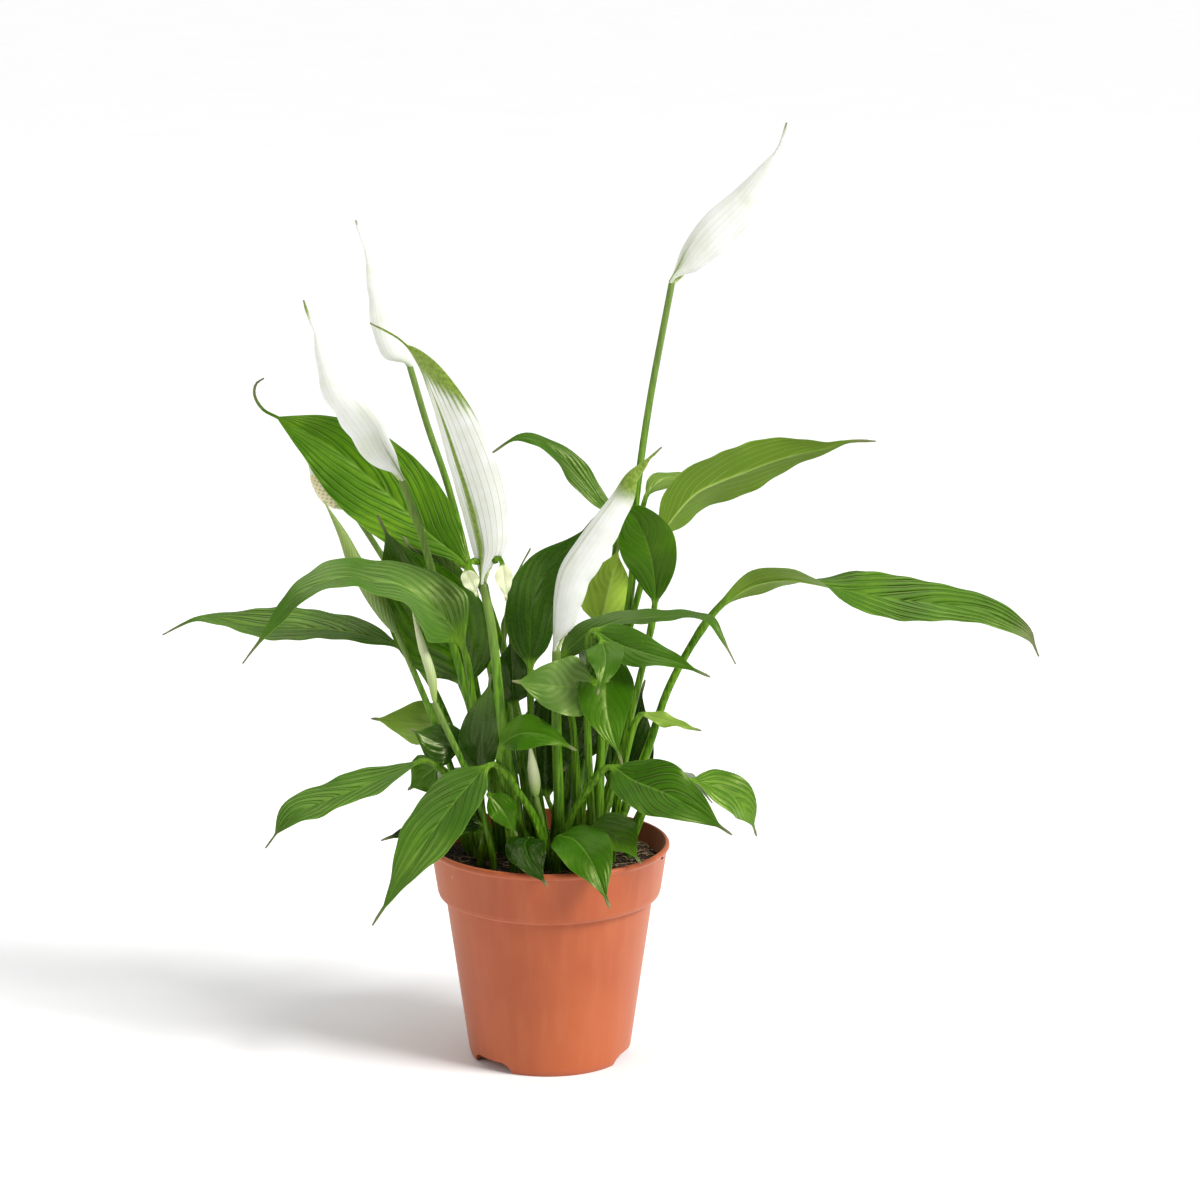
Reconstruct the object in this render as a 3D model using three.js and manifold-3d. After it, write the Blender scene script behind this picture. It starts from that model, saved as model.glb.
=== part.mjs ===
// A flowering peace lily in a plastic nursery pot. Millimetres, +Z up.
// The origin is the centre of the pot's underside, and the front of the plant looks along -Y.
import * as THREE from 'three';
import { mergeVertices } from 'three/addons/utils/BufferGeometryUtils.js';
import Module from 'manifold-3d';

const wasm = await Module();
wasm.setup();

// ---- driving dimensions ----

const pot = {
  sides: 32,
  height: 110,
  padRadius: 25,
  grooveInner: 26.6,
  grooveOuter: 36,
  grooveHeight: 5.6,
  footRadius: 39.4,
  footBevel: 2.6,
  bodyLowRadius: 40.4,
  bodyTopRadius: 51.7,
  flangeHeight: 82.4,
  flangeRadius: 55.7,
  flangeRound: 3.5,
  flangeInset: 0.8,
  collarRadius: 58.8,
  lipHeight: 3.2,
  lipRound: 0.9,
  rimRadius: 60,
  rimWidth: 2,
  wall: 1.2,
  cornerWall: 0.6,
  floor: 1.6,
};

const notch = {
  count: 3, firstTurn: 253, width: 28, topWidth: 18, height: 5, shoulder: 1.6, draft: 2, reachIn: 3.5, depth: 9.4,
};
const drain = { count: 6, radius: 3, circle: 31.2, sides: 8, depth: 6 };

const soil = {
  gap: 0.4,
  edgeRadius: 55.6,
  edgeHeight: 99.5,
  crownHeight: 102.5,
  crownRadius: 46,
  shoulderRadius: 51,
  bump: 0.8,
  bumpPitch: [0.21, 0.17],
  holeFloor: 86,
  holeGap: 0.4,
  holeSides: 6,
};

const stalk = {
  rootHeight: 86.5,
  collarHeight: 105,
  baseRadius: 2.2,
  heelRadius: 1.5,
  sproutRadius: 1.2,
};

// A ring of ten points goes round the upper side from right to left and back below.
const ringAngles = [18, 54, 90, 126, 162, 198, 234, 270, 306, 342];
const ringAcross = [1, 0.5, 0, -0.5, -1, -1, -0.5, 0, 0.5, 1];
const upperPoints = 5;

// How a leaf blade is formed: where it is widest, how it tapers, its thickness and its rib.
const bladeForm = {
  widest: 0.4,
  taper: 1.35,
  tail: 0.08,
  tailHalf: 0.8,
  tipRadius: 0.45,
  thickness: 0.8,
  ribDepth: 0.9,
  fold: 14,
  curl: -24,
  wave: 1.2,
  waves: 2.4,
  waveShift: 1.1,
  heelBlend: 0.14,
  tipBlend: 0.04,
};

const spatheForm = {
  ...bladeForm,
  widest: 0.42,
  taper: 1.2,
  tail: 0.14,
  tailHalf: 0.8,
  ribDepth: 0.5,
  fold: 0,
  curl: 170,
  wave: 0,
  heelBlend: 0.12,
};

// How a bloom is put together: the gap and the shift from the stem's end to the spathe's foot.
const bloomForm = { gap: 0.6, shift: 1.1, footRadius: 1.1, stemSteps: 5, spatheSteps: 10 };

const spadixForm = {
  stipe: 7,
  stipeRadius: 0.9,
  radius: 3.3,
  length: 25,
  rings: 7,
  stud: 0.09,
  footGap: 2.2,
  hollow: 4.6,
  shoulder: 0.16,
  shoulderShare: 0.6,
  topShare: 0.5,
  tipLength: 1.1,
  tipShare: 0.22,
};

// A bud swells from its foot and is widest a little below its middle.
const budForm = { gap: 0.5, steps: 6, stemSteps: 4, skew: 0.7, from: 0.08, to: 0.97, leastRadius: 0.4 };

const finish = {
  terracotta: { color: 0xc4683f, roughness: 0.5 },
  soil: { color: 0x2b1a10, roughness: 0.95 },
  deepLeaf: { color: 0x2c640f, roughness: 0.35 },
  leaf: { color: 0x3d8011, roughness: 0.38 },
  paleLeaf: { color: 0x74992b, roughness: 0.5 },
  stem: { color: 0x6f9a2c, roughness: 0.5 },
  spathe: { color: 0xf1f1e6, roughness: 0.55 },
  bud: { color: 0xdfe2b2, roughness: 0.55 },
  greenBud: { color: 0x8fae4a, roughness: 0.5 },
  spadix: { color: 0xf0e2bd, roughness: 0.8 },
};

// ---- small tools ----

const vector = (point) => new THREE.Vector3(...point);

function material(name) {
  return new THREE.MeshStandardMaterial({ metalness: 0, ...finish[name] });
}

function geometryFrom(points, triangles) {
  const geometry = new THREE.BufferGeometry();
  geometry.setAttribute('position', new THREE.Float32BufferAttribute(points, 3));
  geometry.setIndex(triangles);
  return geometry;
}

function toSolid(geometry) {
  const bare = geometry.clone();
  bare.deleteAttribute('normal');
  bare.deleteAttribute('uv');
  const merged = mergeVertices(bare, 1e-4);
  return new wasm.Manifold(new wasm.Mesh({
    numProp: 3,
    vertProperties: new Float32Array(merged.attributes.position.array),
    triVerts: new Uint32Array(merged.index.array),
  }));
}

function toGeometry(solid) {
  const mesh = solid.getMesh();
  return geometryFrom(Array.from(mesh.vertProperties), Array.from(mesh.triVerts));
}

function named(name, geometry, finishName) {
  const mesh = new THREE.Mesh(geometry, material(finishName));
  mesh.name = name;
  return mesh;
}

function lathe(profile, sides) {
  const points = profile.map(([radius, height]) => new THREE.Vector2(radius, height));
  return new THREE.LatheGeometry(points, sides).rotateX(Math.PI / 2);
}

function smoothStep(value) {
  const t = Math.min(Math.max(value, 0), 1);
  return t * t * (3 - 2 * t);
}

// ---- pot ----

function potProfile() {
  const { wall, floor, cornerWall, flangeRound, lipRound } = pot;
  const lipBottom = pot.height - pot.lipHeight;
  const grooveFloor = pot.grooveHeight + wall;
  return [
    [0, 0],
    [pot.padRadius, 0],
    [pot.grooveInner, pot.grooveHeight],
    [pot.grooveOuter, pot.grooveHeight],
    [pot.grooveOuter + wall, 0],
    [pot.footRadius, 0],
    [pot.bodyLowRadius, pot.footBevel],
    [pot.bodyTopRadius, pot.flangeHeight],
    [pot.flangeRadius - pot.flangeInset, pot.flangeHeight + wall],
    [pot.flangeRadius, pot.flangeHeight + flangeRound],
    [pot.collarRadius, lipBottom],
    [pot.rimRadius, lipBottom + lipRound],
    [pot.rimRadius, pot.height - lipRound],
    [pot.rimRadius - lipRound, pot.height],
    [pot.rimRadius - pot.rimWidth, pot.height],
    [pot.collarRadius - wall, lipBottom],
    [pot.flangeRadius - wall, pot.flangeHeight + flangeRound + lipRound],
    [pot.bodyTopRadius - wall, pot.flangeHeight + wall],
    [pot.bodyLowRadius - cornerWall, grooveFloor],
    [pot.grooveInner + cornerWall, grooveFloor],
    [pot.padRadius - cornerWall, floor],
    [0, floor],
  ];
}

function notchCutter(turn) {
  const foot = notch.width / 2;
  const side = foot - notch.draft;
  const top = notch.topWidth / 2;
  const shoulder = notch.height - notch.shoulder;
  const corners = [
    [-foot, -1], [foot, -1], [side, shoulder], [top, notch.height], [-top, notch.height], [-side, shoulder],
  ];
  const outline = new THREE.Shape(corners.map(([x, z]) => new THREE.Vector2(x, z)));
  const cutter = new THREE.ExtrudeGeometry(outline, { depth: notch.depth, bevelEnabled: false });
  cutter.rotateX(Math.PI / 2).rotateZ(Math.PI).translate(0, pot.grooveOuter - notch.reachIn, 0);
  return cutter.rotateZ(THREE.MathUtils.degToRad(turn));
}

function drainCutter(turn) {
  const cutter = new THREE.CylinderGeometry(drain.radius, drain.radius, drain.depth, drain.sides);
  cutter.rotateX(Math.PI / 2).translate(drain.circle, 0, pot.grooveHeight);
  return cutter.rotateZ(THREE.MathUtils.degToRad(turn));
}

function potBody() {
  let body = toSolid(lathe(potProfile(), pot.sides));
  for (let i = 0; i < notch.count; i += 1) {
    body = body.subtract(toSolid(notchCutter(notch.firstTurn + (i * 360) / notch.count)));
  }
  for (let i = 0; i < drain.count; i += 1) {
    body = body.subtract(toSolid(drainCutter((i * 360) / drain.count)));
  }
  return named('pot', toGeometry(body), 'terracotta');
}

// ---- soil ----

function soilProfile() {
  const inner = pot.wall + soil.gap;
  const padTop = pot.floor + soil.gap;
  const grooveTop = pot.grooveHeight + pot.wall + soil.gap;
  return [
    [0, padTop],
    [pot.padRadius - pot.cornerWall, padTop],
    [pot.grooveInner + soil.gap, grooveTop],
    [pot.bodyLowRadius - inner, grooveTop],
    [pot.bodyTopRadius - inner, pot.flangeHeight + inner],
    [pot.flangeRadius - inner, pot.flangeHeight + pot.flangeRound + inner],
    [soil.edgeRadius, soil.edgeHeight],
    [soil.shoulderRadius, soil.crownHeight - soil.bump],
    [soil.crownRadius, soil.crownHeight],
    [0, soil.crownHeight],
  ];
}

// Shallow humps run round the edge, and the crown where the plant stands is level.
function roughenEdge(geometry) {
  const place = geometry.attributes.position;
  for (let i = 0; i < place.count; i += 1) {
    const x = place.getX(i);
    const y = place.getY(i);
    if (place.getZ(i) > soil.edgeHeight - 1 && Math.hypot(x, y) > soil.crownRadius + 1) {
      const hump = Math.sin(x * soil.bumpPitch[0] + 1) * Math.cos(y * soil.bumpPitch[1]);
      place.setZ(i, place.getZ(i) + soil.bump * hump);
    }
  }
  return geometry;
}

function soilBody(roots) {
  let body = toSolid(roughenEdge(lathe(soilProfile(), pot.sides)));
  for (const root of roots) {
    const fit = (root.radius + soil.holeGap) / Math.cos(Math.PI / soil.holeSides);
    const depth = pot.height - soil.holeFloor;
    const hole = new THREE.CylinderGeometry(fit, fit, depth, soil.holeSides);
    hole.rotateX(Math.PI / 2).translate(root.x, root.y, soil.holeFloor + depth / 2);
    body = body.subtract(toSolid(hole));
  }
  return named('soil', toGeometry(body), 'soil');
}

// ---- lofts along a curve ----

// Evenly spaced stations on a stretch of a curve, each with its place and its direction.
function stationsAlong(curve, from, to, count) {
  const samples = 160;
  const lengths = [0];
  let last = curve.getPoint(from);
  for (let i = 1; i <= samples; i += 1) {
    const next = curve.getPoint(from + ((to - from) * i) / samples);
    lengths.push(lengths[i - 1] + next.distanceTo(last));
    last = next;
  }
  const stations = [];
  for (let i = 0, j = 1; i <= count; i += 1) {
    const wanted = (lengths[samples] * i) / count;
    while (j < samples && lengths[j] < wanted) j += 1;
    const share = (wanted - lengths[j - 1]) / (lengths[j] - lengths[j - 1]);
    const t = from + ((to - from) * (j - 1 + share)) / samples;
    stations.push({ at: curve.getPoint(t), along: curve.getTangent(t), share: i / count });
  }
  return stations;
}

function squareTo(along, wish) {
  return wish.clone().addScaledVector(along, -wish.dot(along)).normalize();
}

function faceAt(faces, share) {
  const steps = faces.length - 1;
  const index = Math.min(Math.floor(share * steps), Math.max(steps - 1, 0));
  const next = Math.min(index + 1, steps);
  return vector(faces[index]).lerp(vector(faces[next]), share * steps - index);
}

function placeRing({ at, along, up, offsets }) {
  const right = new THREE.Vector3().crossVectors(along, up);
  return offsets.map(([across, above]) => (
    at.clone().addScaledVector(right, across).addScaledVector(up, above)
  ));
}

function roundRing(radius) {
  return ringAngles.map((angle) => {
    const turn = THREE.MathUtils.degToRad(angle);
    return [radius * Math.cos(turn), radius * Math.sin(turn)];
  });
}

// The upper and lower faces are split into triangles alike, so that a waved blade stays sound.
function loft(rings) {
  const size = rings[0].length;
  const triangles = [];
  for (let k = 1; k < size - 1; k += 1) triangles.push(0, k, k + 1);
  for (let i = 0; i + 1 < rings.length; i += 1) {
    for (let k = 0; k < size; k += 1) {
      const a = i * size + k;
      const b = i * size + ((k + 1) % size);
      const c = b + size;
      const d = a + size;
      if (k < size / 2) triangles.push(a, c, b, a, d, c);
      else triangles.push(a, d, b, b, d, c);
    }
  }
  const end = (rings.length - 1) * size;
  for (let k = 1; k < size - 1; k += 1) triangles.push(end, end + k + 1, end + k);
  return geometryFrom(rings.flat().flatMap((point) => point.toArray()), triangles);
}

// ---- blades ----

function halfWidthAt(share, half, form) {
  const along = Math.min(share / (1 - form.tail), 1);
  const heelPower = (form.taper * form.widest) / (1 - form.widest);
  const rise = (along / form.widest) ** heelPower;
  const fall = ((1 - along) / (1 - form.widest)) ** form.taper;
  const tail = share > form.widest ? form.tailHalf : 0;
  return Math.max(half * rise * fall, tail);
}

// One side of the blade bends by the fold at the rib and by its share of the curl out to the edge.
function bladeRing(share, half, form) {
  const halfWidth = halfWidthAt(share, half, form);
  const fold = THREE.MathUtils.degToRad(form.fold);
  const curl = THREE.MathUtils.degToRad(form.curl / 2) || 1e-3;
  const swing = Math.sin(Math.PI * share) * form.wave;
  return ringAcross.map((across, k) => {
    const side = Math.sign(across) || 1;
    const out = Math.abs(across);
    const turn = across === 0 ? 0 : fold + curl * out;
    const reach = (halfWidth / curl) * (Math.sin(fold + curl * out) - Math.sin(fold));
    const lift = (halfWidth / curl) * (Math.cos(fold) - Math.cos(fold + curl * out));
    const phase = 2 * Math.PI * form.waves * share + side * form.waveShift + half;
    const wave = swing * out * out * Math.sin(phase);
    const rib = across === 0 ? form.ribDepth * (1 - share) : 0;
    const offset = k < upperPoints ? form.thickness / 2 : -form.thickness / 2 - rib;
    return [
      side * (reach - Math.sin(turn) * (offset + wave)),
      lift + Math.cos(turn) * (offset + wave),
    ];
  });
}

function blendRings(first, second, share) {
  return first.map(([across, above], k) => [
    across + (second[k][0] - across) * share,
    above + (second[k][1] - above) * share,
  ]);
}

function bladeRings(stations, { half, faces, form, heelRadius }) {
  return stations.map(({ at, along, share }) => {
    const up = squareTo(along, faceAt(faces, share));
    const round = share < 0.5 ? heelRadius : form.tipRadius;
    const open = share < 0.5 ? smoothStep(share / form.heelBlend) : smoothStep((1 - share) / form.tipBlend);
    const offsets = blendRings(roundRing(round), bladeRing(share, half, form), open);
    return placeRing({ at, along, up, offsets });
  });
}

// The stalk's rings are turned as little as possible on the way down from the heel.
function stalkRings(stations, heelUp, radii) {
  let up = heelUp;
  const rings = [];
  for (const { at, along, share } of [...stations].reverse()) {
    up = squareTo(along, up);
    const radius = radii.base + (radii.heel - radii.base) * share;
    rings.unshift(placeRing({ at, along, up, offsets: roundRing(radius) }));
  }
  return rings;
}

function rootRing(root, collarRing) {
  const foot = vector([...root, stalk.rootHeight]);
  const centre = collarRing.reduce((sum, point) => sum.add(point), new THREE.Vector3())
    .divideScalar(collarRing.length);
  return collarRing.map((point) => {
    const level = point.clone().sub(centre).setZ(0);
    return level.setLength(point.distanceTo(centre)).add(foot);
  });
}

// ---- leaves ----

function leafBody(leaf) {
  const form = { ...bladeForm, ...leaf.form };
  const radii = { base: stalk.baseRadius, heel: leaf.heelRadius ?? stalk.heelRadius };
  const below = [[...leaf.root, stalk.rootHeight], [...leaf.root, stalk.collarHeight], ...(leaf.stalk ?? [])];
  const points = [...below, ...leaf.blade].map(vector);
  const curve = new THREE.CatmullRomCurve3(points, false, 'centripetal');
  const collar = 1 / (points.length - 1);
  const heel = below.length / (points.length - 1);
  const blade = bladeRings(stationsAlong(curve, heel, 1, leaf.bladeSteps ?? 10), {
    half: leaf.half, faces: leaf.faces, form, heelRadius: radii.heel,
  });
  const stations = stationsAlong(curve, collar, heel, leaf.stalkSteps ?? 3);
  const heelUp = squareTo(stations[stations.length - 1].along, faceAt(leaf.faces, 0));
  const lower = stalkRings(stations, heelUp, radii).slice(0, -1);
  const body = loft([rootRing(leaf.root, lower[0]), ...lower, ...blade]);
  return leaf.sprout ? toGeometry(toSolid(body).add(toSolid(sproutBody(leaf.sprout)))) : body;
}

// A second blade that grows out of the first one's stalk.
function sproutBody(sprout) {
  const form = { ...bladeForm, ...sprout.form };
  const points = [...sprout.stalk, ...sprout.blade].map(vector);
  const curve = new THREE.CatmullRomCurve3(points, false, 'centripetal');
  const heel = sprout.stalk.length / (points.length - 1);
  const radii = { base: stalk.sproutRadius, heel: stalk.sproutRadius };
  const blade = bladeRings(stationsAlong(curve, heel, 1, sprout.bladeSteps), {
    half: sprout.half, faces: sprout.faces, form, heelRadius: radii.heel,
  });
  const stations = [{ at: points[0], along: curve.getTangent(0), share: 0 }, ...stationsAlong(curve, 0, heel, 2)];
  const heelUp = squareTo(stations[stations.length - 1].along, faceAt(sprout.faces, 0));
  return loft([...stalkRings(stations, heelUp, radii), ...blade]);
}

const leaves = [
  // the left side, from the top down
  {
    name: 'leaf_left_broad', finish: 'leaf', root: [-9, 7], half: 23,
    stalk: [[-14, 16, 160]],
    blade: [[-36, 21, 239], [-61, 34, 260], [-86, 48, 281], [-112, 58, 300], [-137, 62, 313],
      [-144, 62, 317], [-148, 62, 324], [-147, 61, 330], [-143, 60, 333]],
    faces: [[0.1, -0.9, 0.45], [0, -0.8, 0.6], [-0.2, -0.8, 0.5]],
    form: { tail: 0.17, widest: 0.5, taper: 1 }, bladeSteps: 13,
  },
  {
    name: 'leaf_left_arching', finish: 'leaf', root: [-9, -11], half: 18,
    stalk: [[-22, -12, 134], [-31, -12, 161], [-36, -17, 183]],
    blade: [[-41, -18, 212], [-48, -20, 225], [-59, -23, 237], [-72, -27, 246], [-85, -31, 249],
      [-95, -36, 252], [-106, -42, 251], [-118, -48, 246], [-131, -54, 232], [-145, -60, 215]],
    faces: [[0.3, -0.85, 0.4], [0, -0.4, 0.95], [0, -0.25, 1], [-0.5, -0.35, 0.8]],
    form: { widest: 0.25, taper: 0.9 }, bladeSteps: 10,
  },
  {
    name: 'leaf_left_low', finish: 'leaf', root: [-33, 5], half: 17,
    stalk: [[-46, 6, 159]],
    blade: [[-69, 13, 202], [-91, 16, 211], [-107, 19, 213], [-124, 21, 214], [-143, 23, 214],
      [-160, 25, 216], [-176, 26, 217], [-193, 26, 209]],
    faces: [[0, -0.3, 0.95], [0, -0.25, 1], [0, -0.25, 1]], form: { widest: 0.5 }, bladeSteps: 11,
  },
  {
    name: 'leaf_left_pointed', finish: 'leaf', root: [-25, 4], half: 15,
    stalk: [[-34, 9, 174]],
    blade: [[-45, 13, 222], [-53, 15, 233], [-64, 16, 247], [-72, 18, 261]],
    faces: [[0.4, -0.9, 0.2], [0.2, -0.95, 0.1]], bladeSteps: 7,
  },
  {
    name: 'leaf_left_dark', finish: 'deepLeaf', root: [-17, -11], half: 24,
    stalk: [[-19, -2, 135], [-27, 4, 160]],
    blade: [[-40, 6, 184], [-43, 6, 197], [-50, 6, 213], [-61, 7, 230], [-72, 8, 247], [-79, 8, 263],
      [-84, 8, 274]],
    faces: [[0.05, -1, 0.1], [-0.2, -0.9, 0.3]], bladeSteps: 9,
  },
  {
    name: 'leaf_left_short', finish: 'paleLeaf', root: [-17, 5], half: 12,
    stalk: [[-30, 13, 140]],
    blade: [[-48, 14, 164], [-67, 16, 166], [-89, 18, 168]],
    faces: [[0, -0.7, 0.7], [0, -0.8, 0.5]], bladeSteps: 6,
  },
  {
    name: 'leaf_left_drooping', finish: 'leaf', root: [-33, -11], half: 14,
    stalk: [[-42, -17, 138]],
    blade: [[-59, -22, 157], [-70, -25, 154], [-85, -29, 148], [-97, -33, 144], [-113, -38, 139],
      [-124, -42, 135], [-137, -48, 120]],
    faces: [[0, -0.4, 0.9], [-0.1, -0.3, 1], [-0.2, -0.4, 0.9]], form: { widest: 0.58, taper: 1 }, bladeSteps: 9,
  },
  {
    name: 'leaf_left_lime', finish: 'leaf', root: [-41, 4], half: 11,
    stalk: [[-47, 9, 130]],
    blade: [[-55, 12, 144], [-62, 16, 139], [-71, 18, 131]],
    faces: [[-0.2, -0.9, 0.4], [-0.2, -0.9, 0.4]], bladeSteps: 6,
  },
  {
    name: 'leaf_front_left', finish: 'leaf', root: [-1, -26], half: 17,
    stalk: [[-6, -31, 129], [-13, -37, 143]],
    blade: [[-26, -40, 160], [-38, -46, 151], [-52, -55, 135], [-66, -64, 116], [-84, -74, 89]],
    faces: [[-0.3, -0.6, 0.75], [-0.5, -0.6, 0.6]], bladeSteps: 10,
  },
  {
    name: 'leaf_low_left_dark', finish: 'deepLeaf', root: [-33, -19], half: 12, stalkSteps: 1,
    blade: [[-32, -21, 122], [-43, -26, 127], [-58, -33, 126], [-71, -40, 125], [-81, -45, 123]],
    faces: [[-0.3, -0.5, 0.8], [-0.2, -0.5, 0.8]], bladeSteps: 7,
  },
  {
    name: 'leaf_upright_dark', finish: 'deepLeaf', root: [-29, -4], half: 11,
    stalk: [[-33, -13, 130]],
    blade: [[-34, -17, 148], [-33, -18, 168], [-30, -19, 185], [-28, -20, 200]],
    faces: [[-0.3, -0.95, 0], [-0.3, -0.95, 0]], bladeSteps: 7,
    sprout: {
      stalk: [[-33, -13, 131], [-37, -11, 146]], half: 11, bladeSteps: 5,
      blade: [[-43, -9, 158], [-56, -12, 164], [-68, -14, 171]],
      faces: [[0.2, -0.9, 0.3], [0.2, -0.9, 0.3]],
    },
  },
  // the middle
  {
    name: 'leaf_inner_dark', finish: 'deepLeaf', root: [-5, -1], half: 12,
    stalk: [[-11, 0, 150]],
    blade: [[-17, 1, 179], [-18, 1, 196], [-19, 2, 214]],
    faces: [[0.1, -1, 0], [0.1, -1, 0]], bladeSteps: 6,
  },
  {
    name: 'leaf_spike', finish: 'paleLeaf', root: [-13, -3], half: 2.6,
    stalk: [[-20, 6, 165]],
    blade: [[-22, 10, 205], [-21, 11, 224], [-16, 12, 242], [-9, 12, 256]],
    faces: [[0.8, -0.6, 0], [0.8, -0.6, 0]], bladeSteps: 5,
  },
  {
    name: 'leaf_centre_dark', finish: 'deepLeaf', root: [-2, -9], half: 13,
    stalk: [[-8, -8, 155]],
    blade: [[-9, -5, 197], [-9, -3, 213], [-8, 0, 230], [-2, 2, 246], [12, 4, 260], [24, 6, 274]],
    faces: [[0, -1, 0], [-0.3, -0.95, 0.2]], bladeSteps: 9,
  },
  {
    name: 'leaf_top', finish: 'leaf', root: [6, 16], half: 7,
    stalk: [[23, 31, 200]],
    blade: [[33, 34, 265], [24, 37, 276], [15, 39, 287], [6, 40, 297], [-4, 41, 304], [-15, 42, 306],
      [-29, 42, 298]],
    faces: [[0.3, -0.7, 0.7], [0.2, -0.6, 0.8]], bladeSteps: 9,
  },
  {
    name: 'leaf_lime', finish: 'paleLeaf', root: [3, 8], half: 14,
    stalk: [[10, 18, 160]],
    blade: [[25, 21, 214], [29, 24, 232], [35, 27, 255]],
    faces: [[-0.2, 0.95, 0.2], [-0.2, 0.95, 0.2]], bladeSteps: 6,
  },
  {
    name: 'leaf_shaded_hanging', finish: 'deepLeaf', root: [11, -2], half: 15,
    stalk: [[17, 3, 150], [22, 6, 172]],
    blade: [[21, 4, 177], [15, 2, 162], [7, -2, 146]],
    faces: [[-0.3, -0.8, 0.5], [-0.3, -0.9, 0.2]], bladeSteps: 6,
  },
  {
    name: 'leaf_centre_front', finish: 'leaf', root: [23, -14], half: 14,
    stalk: [[26, -15, 165]],
    blade: [[29, -19, 209], [28, -34, 200], [29, -46, 186], [36, -55, 164]],
    faces: [[0, -0.7, 0.7], [0, -0.9, 0.4]], bladeSteps: 8,
    sprout: {
      stalk: [[31, -33, 200], [27, -35, 200]], half: 15, bladeSteps: 6,
      blade: [[24, -36, 200], [11, -38, 198], [-4, -40, 200], [-17, -42, 202]],
      faces: [[0, -0.9, 0.4], [0, -0.9, 0.4]], form: { widest: 0.3, taper: 0.9 },
    },
  },
  {
    name: 'leaf_small_front', finish: 'leaf', root: [-17, -28], half: 9,
    stalk: [[-20, -33, 140]],
    blade: [[-23, -38, 167], [-13, -43, 176], [-1, -46, 176], [14, -48, 169]],
    faces: [[0, -0.8, 0.6], [0, -0.8, 0.6]], bladeSteps: 7,
    sprout: {
      stalk: [[-19, -30, 123], [-25, -34, 137]], half: 7, bladeSteps: 4,
      blade: [[-29, -37, 144], [-23, -39, 138], [-15, -40, 124]],
      faces: [[0, -0.9, 0.4], [0, -0.9, 0.4]],
    },
  },
  // the right side, from the top down
  {
    name: 'leaf_right_upper', finish: 'paleLeaf', root: [19, 3], half: 17,
    stalk: [[32, 9, 180]],
    blade: [[52, 12, 257], [63, 18, 273], [73, 23, 282], [86, 29, 287], [99, 34, 291], [112, 39, 295],
      [125, 43, 298], [138, 46, 300], [149, 48, 303], [163, 49, 303]],
    faces: [[-0.3, 0.8, 0.5], [-0.2, 0.85, 0.4]], bladeSteps: 11,
    sprout: {
      stalk: [[47, 11, 236], [46, 19, 262]], half: 6, bladeSteps: 6,
      blade: [[48, 27, 279], [57, 34, 286], [70, 40, 283], [80, 44, 274]],
      faces: [[0, -0.5, 0.9], [0.3, -0.5, 0.8]],
    },
  },
  {
    name: 'leaf_right_upright', finish: 'leaf', root: [22, -6], half: 14,
    stalk: [[38, -3, 165]],
    blade: [[52, -1, 229], [52, -2, 243], [50, -3, 256], [46, -3, 268], [40, -3, 277], [33, -2, 281]],
    faces: [[0, -1, 0], [-0.2, -0.95, 0.1]], form: { widest: 0.6, taper: 0.8 }, bladeSteps: 8,
  },
  {
    name: 'leaf_far_right', finish: 'leaf', root: [31, -2], half: 14, heelRadius: 1.8,
    stalk: [[49, -1, 157], [60, 0, 190]],
    blade: [[81, 0, 226], [91, 0, 235], [103, 0, 241], [116, 0, 243], [131, 0, 241], [148, -1, 237],
      [172, -2, 233], [197, -5, 231], [214, -7, 228], [226, -9, 223], [235, -11, 217], [240, -12, 207]],
    faces: [[-0.4, 0.85, 0.3], [-0.3, 0.85, 0.4], [0, 0.3, 1], [0, -0.5, 0.85], [0, -0.6, 0.8],
      [0, -0.6, 0.8], [0, -0.6, 0.8], [0.1, -0.6, 0.8]],
    form: { widest: 0.5, taper: 0.7, tail: 0.04 }, bladeSteps: 14,
  },
  {
    name: 'leaf_right_arch', finish: 'leaf', root: [14, -10], half: 8,
    stalk: [[12, -11, 172]],
    blade: [[6, -11, 202], [17, -12, 217], [34, -13, 225], [52, -15, 227], [68, -19, 229],
      [78, -24, 228], [84, -28, 220], [91, -32, 208]],
    faces: [[-0.4, -0.8, 0.4], [0, -0.3, 1], [0, -0.15, 1], [0.8, -0.3, 0.5]],
    form: { wave: 0.4, widest: 0.3, taper: 0.6 }, bladeSteps: 9,
  },
  {
    name: 'leaf_right_front', finish: 'leaf', root: [22, -22], half: 10,
    stalk: [[19, -18, 182], [20, -20, 205]],
    blade: [[21, -26, 223], [34, -32, 218], [47, -38, 215], [62, -44, 212], [78, -50, 206]],
    faces: [[0, -0.8, 0.6], [0, -0.8, 0.6]], form: { widest: 0.28 }, bladeSteps: 8,
    sprout: {
      stalk: [[22, -28, 222], [24, -31, 222]], half: 9, bladeSteps: 6,
      blade: [[26, -34, 220], [28, -46, 212], [24, -57, 199]],
      faces: [[0, -0.7, 0.7], [0, -0.9, 0.4]], form: { widest: 0.3 },
    },
  },
  {
    name: 'leaf_low_right', finish: 'leaf', root: [8, -25], half: 16,
    stalk: [[10, -25, 125], [18, -29, 142]],
    blade: [[29, -31, 156], [42, -38, 151], [58, -45, 146], [74, -50, 138], [89, -56, 129]],
    faces: [[0, -0.6, 0.8], [-0.1, -0.7, 0.7]], bladeSteps: 10,
  },
  {
    name: 'leaf_low_right_back', finish: 'leaf', root: [39, -4], half: 12,
    stalk: [[56, 0, 140]],
    blade: [[69, 4, 140], [80, 9, 136], [91, 13, 130], [99, 16, 121], [104, 18, 107]],
    faces: [[0.1, -0.6, 0.8], [0.3, -0.7, 0.6]], form: { widest: 0.5 }, bladeSteps: 7,
  },
  {
    name: 'leaf_thin', finish: 'paleLeaf', root: [31, -10], half: 4,
    stalk: [[37, -15, 152]],
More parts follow.
